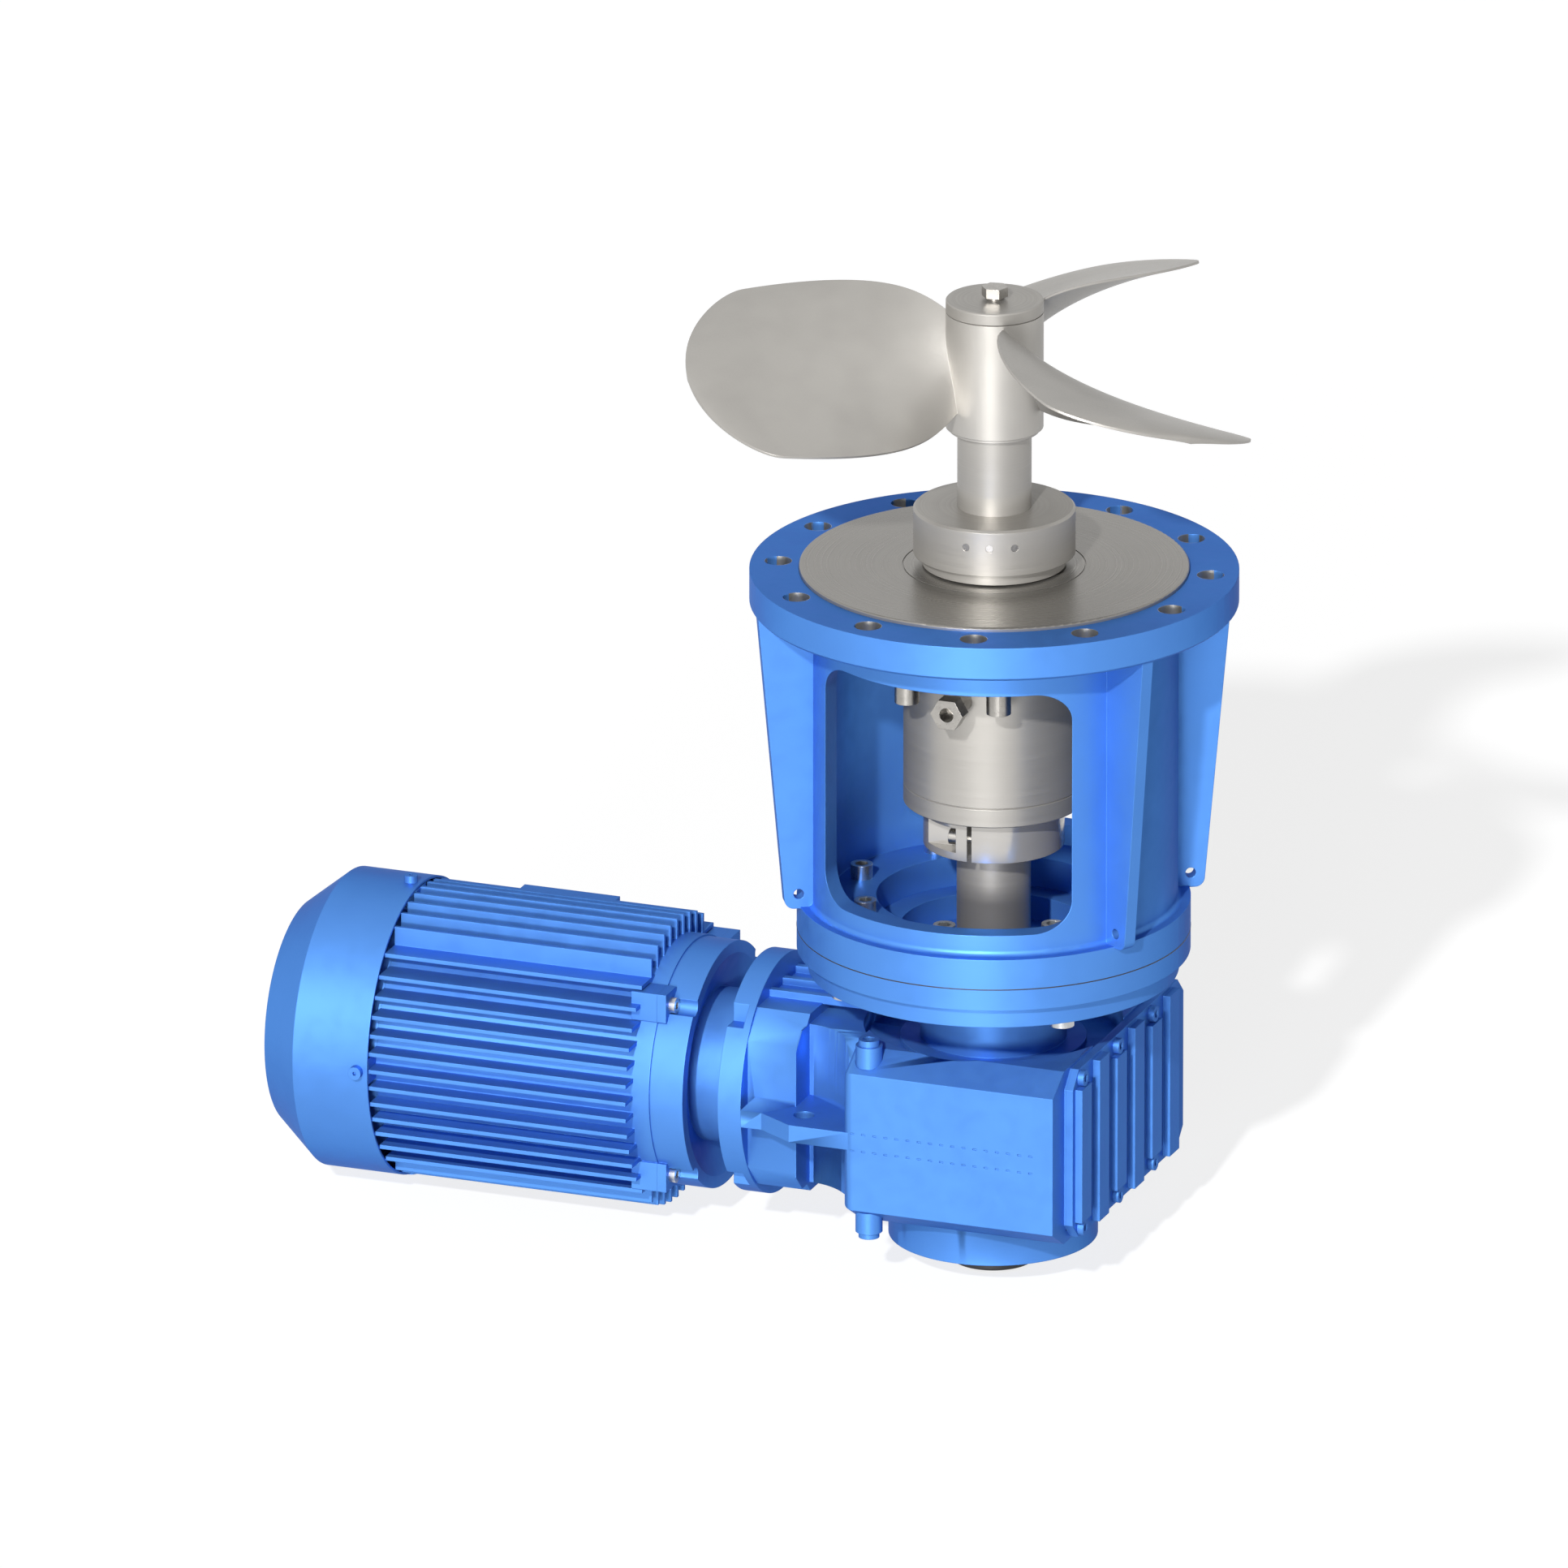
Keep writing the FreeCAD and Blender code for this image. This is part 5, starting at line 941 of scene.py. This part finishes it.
@dataclass
class Motor:
    """Finned motor with its cowl, fan and terminal box."""

    finishes: Finishes

    def build(self) -> None:
        """Dress the motor."""
        finishes = self.finishes
        dress(["stator_frame", "motor_end_shield", "rear_end_shield", "fan_cowl",
               "terminal_box", "terminal_box_lid"], finishes.enamel)
        dress(["motor_lug_screws"], finishes.screw_steel)
        dress(["cowl_screws", "lid_screws"], finishes.painted_screw)
        dress(["rotor_shaft"], finishes.motor_shaft)
        dress(["rotor_core", "stator_core"], finishes.core_iron)
        dress(["stator_windings"], finishes.copper)
        dress(["cooling_fan", "cable_entry_plug"], finishes.nylon)


@dataclass(frozen=True)
class Lamp:
    """A distant lamp: where it stands, how strong it is and how wide it looks, in degrees."""

    name: str
    azimuth: float
    elevation: float
    strength: float
    spread: float


@dataclass
class Studio:
    """Camera, lamps, pale floor and white surroundings."""

    # The picture is a parallel view, so a lens of a metre stands far off: the lens and the
    # sensor are in millimetres, and the picture is frame_wide across at the object.
    azimuth: float = math.radians(-69.295)
    elevation: float = math.asin(1.0 / 3.0)
    lens: float = 1000.0
    sensor: float = 36.0
    frame_wide: float = 1.2636
    aim: tuple[float, float, float] = (-0.1380, -0.1142, -0.1643)
    sight: float = 200.0
    lamps: tuple[Lamp, ...] = (Lamp("key_lamp", -84.0, 30.0, 3.6, 2.0),
                               Lamp("soft_lamp", -80.0, 3.0, 3.4, 14.0))
    lamp_distance: float = 3.0
    floor_half: float = 30.0
    floor_gap: float = 0.002
    floor_colour: str = "#8C8C8C"
    floor_roughness: float = 0.9
    # The floor's glow and the world's strength as they are seen, and the world's light that falls
    # on the object.
    floor_glow: float = 0.80
    world_seen: float = 1.0
    world_fill: float = 0.03

    def build(self) -> None:
        """Set up the studio."""
        self.place_camera()
        self.hang_lamps()
        self.lay_floor()
        self.light_world()

    @staticmethod
    def direction(azimuth: float, elevation: float) -> Vector:
        """Return the unit vector that points from the object toward an azimuth and elevation."""
        level = math.cos(elevation)
        return Vector((level * math.cos(azimuth), level * math.sin(azimuth), math.sin(elevation)))

    def place_camera(self) -> None:
        """Place a very long lens far away, so that parallel edges stay parallel."""
        data = bpy.data.cameras.new("camera")
        data.lens = self.lens
        data.sensor_width = self.sensor
        data.sensor_fit = "HORIZONTAL"
        data.clip_end = self.sight
        camera = bpy.data.objects.new("camera", data)
        away = self.direction(self.azimuth, self.elevation)
        distance = self.lens / self.sensor * self.frame_wide
        camera.location = Vector(self.aim) + away * distance
        camera.rotation_euler = (-away).to_track_quat("-Z", "Y").to_euler()
        bpy.context.scene.collection.objects.link(camera)
        bpy.context.scene.camera = camera

    def hang_lamps(self) -> None:
        """Hang a key lamp in front and above, and a broad low fill beside the camera."""
        for lamp in self.lamps:
            data = bpy.data.lights.new(lamp.name, "SUN")
            data.energy = lamp.strength
            data.angle = math.radians(lamp.spread)
            hung = bpy.data.objects.new(lamp.name, data)
            away = self.direction(math.radians(lamp.azimuth), math.radians(lamp.elevation))
            hung.rotation_euler = away.to_track_quat("Z", "Y").to_euler()
            hung.location = away * self.lamp_distance
            bpy.context.scene.collection.objects.link(hung)

    @staticmethod
    def seen(tree: bpy.types.NodeTree) -> bpy.types.NodeSocket:
        """Return 1 where the eye, a reflection or clear glass looks, and 0 for light that falls."""
        path = add_node(tree, "LightPath")
        mirrored = add_node(tree, "Math", links={0: path.outputs["Is Camera Ray"],
                                                 1: path.outputs["Is Glossy Ray"]},
                            operation="MAXIMUM")
        shown = add_node(tree, "Math", links={0: mirrored.outputs[0],
                                              1: path.outputs["Is Transmission Ray"]},
                         operation="MAXIMUM")
        return shown.outputs[0]

    def lay_floor(self) -> None:
        """Lay a pale floor that shows white to the eye and keeps the object's shadow."""
        mesh = bpy.data.meshes.new("studio_floor")
        builder = bmesh.new()
        bmesh.ops.create_grid(builder, x_segments=1, y_segments=1, size=self.floor_half)
        builder.to_mesh(mesh)
        builder.free()
        floor = bpy.data.objects.new("studio_floor", mesh)
        floor.location = (0.0, 0.0, CAD_BOX[0][2] - self.floor_gap)
        bpy.context.scene.collection.objects.link(floor)
        material = bpy.data.materials.new("pale_studio_floor")
        material.use_nodes = True
        tree = material.node_tree
        paint = tree.nodes["Principled BSDF"]
        paint.inputs["Base Color"].default_value = to_linear(self.floor_colour)
        paint.inputs["Roughness"].default_value = self.floor_roughness
        glow = add_node(tree, "Math", {1: self.floor_glow}, {0: self.seen(tree)},
                        operation="MULTIPLY")
        lit = add_node(tree, "Emission", {"Color": (1.0, 1.0, 1.0, 1.0)},
                       {"Strength": glow.outputs[0]})
        both = add_node(tree, "AddShader", links={0: paint.outputs[0], 1: lit.outputs[0]})
        tree.links.new(both.outputs[0], tree.nodes["Material Output"].inputs[0])
        mesh.materials.append(material)

    def light_world(self) -> None:
        """Surround the object with white that is seen, and a little light that falls on it."""
        world = bpy.data.worlds.new("studio_world")
        bpy.context.scene.world = world
        world.use_nodes = True
        tree = world.node_tree
        background = tree.nodes["Background"]
        background.inputs["Color"].default_value = (1.0, 1.0, 1.0, 1.0)
        level = add_node(tree, "MapRange", {"To Min": self.world_fill, "To Max": self.world_seen},
                         {"Value": self.seen(tree)})
        tree.links.new(level.outputs[0], background.inputs["Strength"])
        bpy.context.scene.view_settings.view_transform = "Standard"


def main() -> None:
    """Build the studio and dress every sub-assembly in order."""
    logging.basicConfig(level=logging.INFO, format="%(message)s")
    finishes = Finishes()
    Studio().build()
    for part in (VesselSide(finishes), SealCartridge(finishes), Agitator(finishes),
                 Gearbox(finishes), Motor(finishes)):
        part.build()
        log.info("built %s", type(part).__name__)


if __name__ == "__main__":
    main()
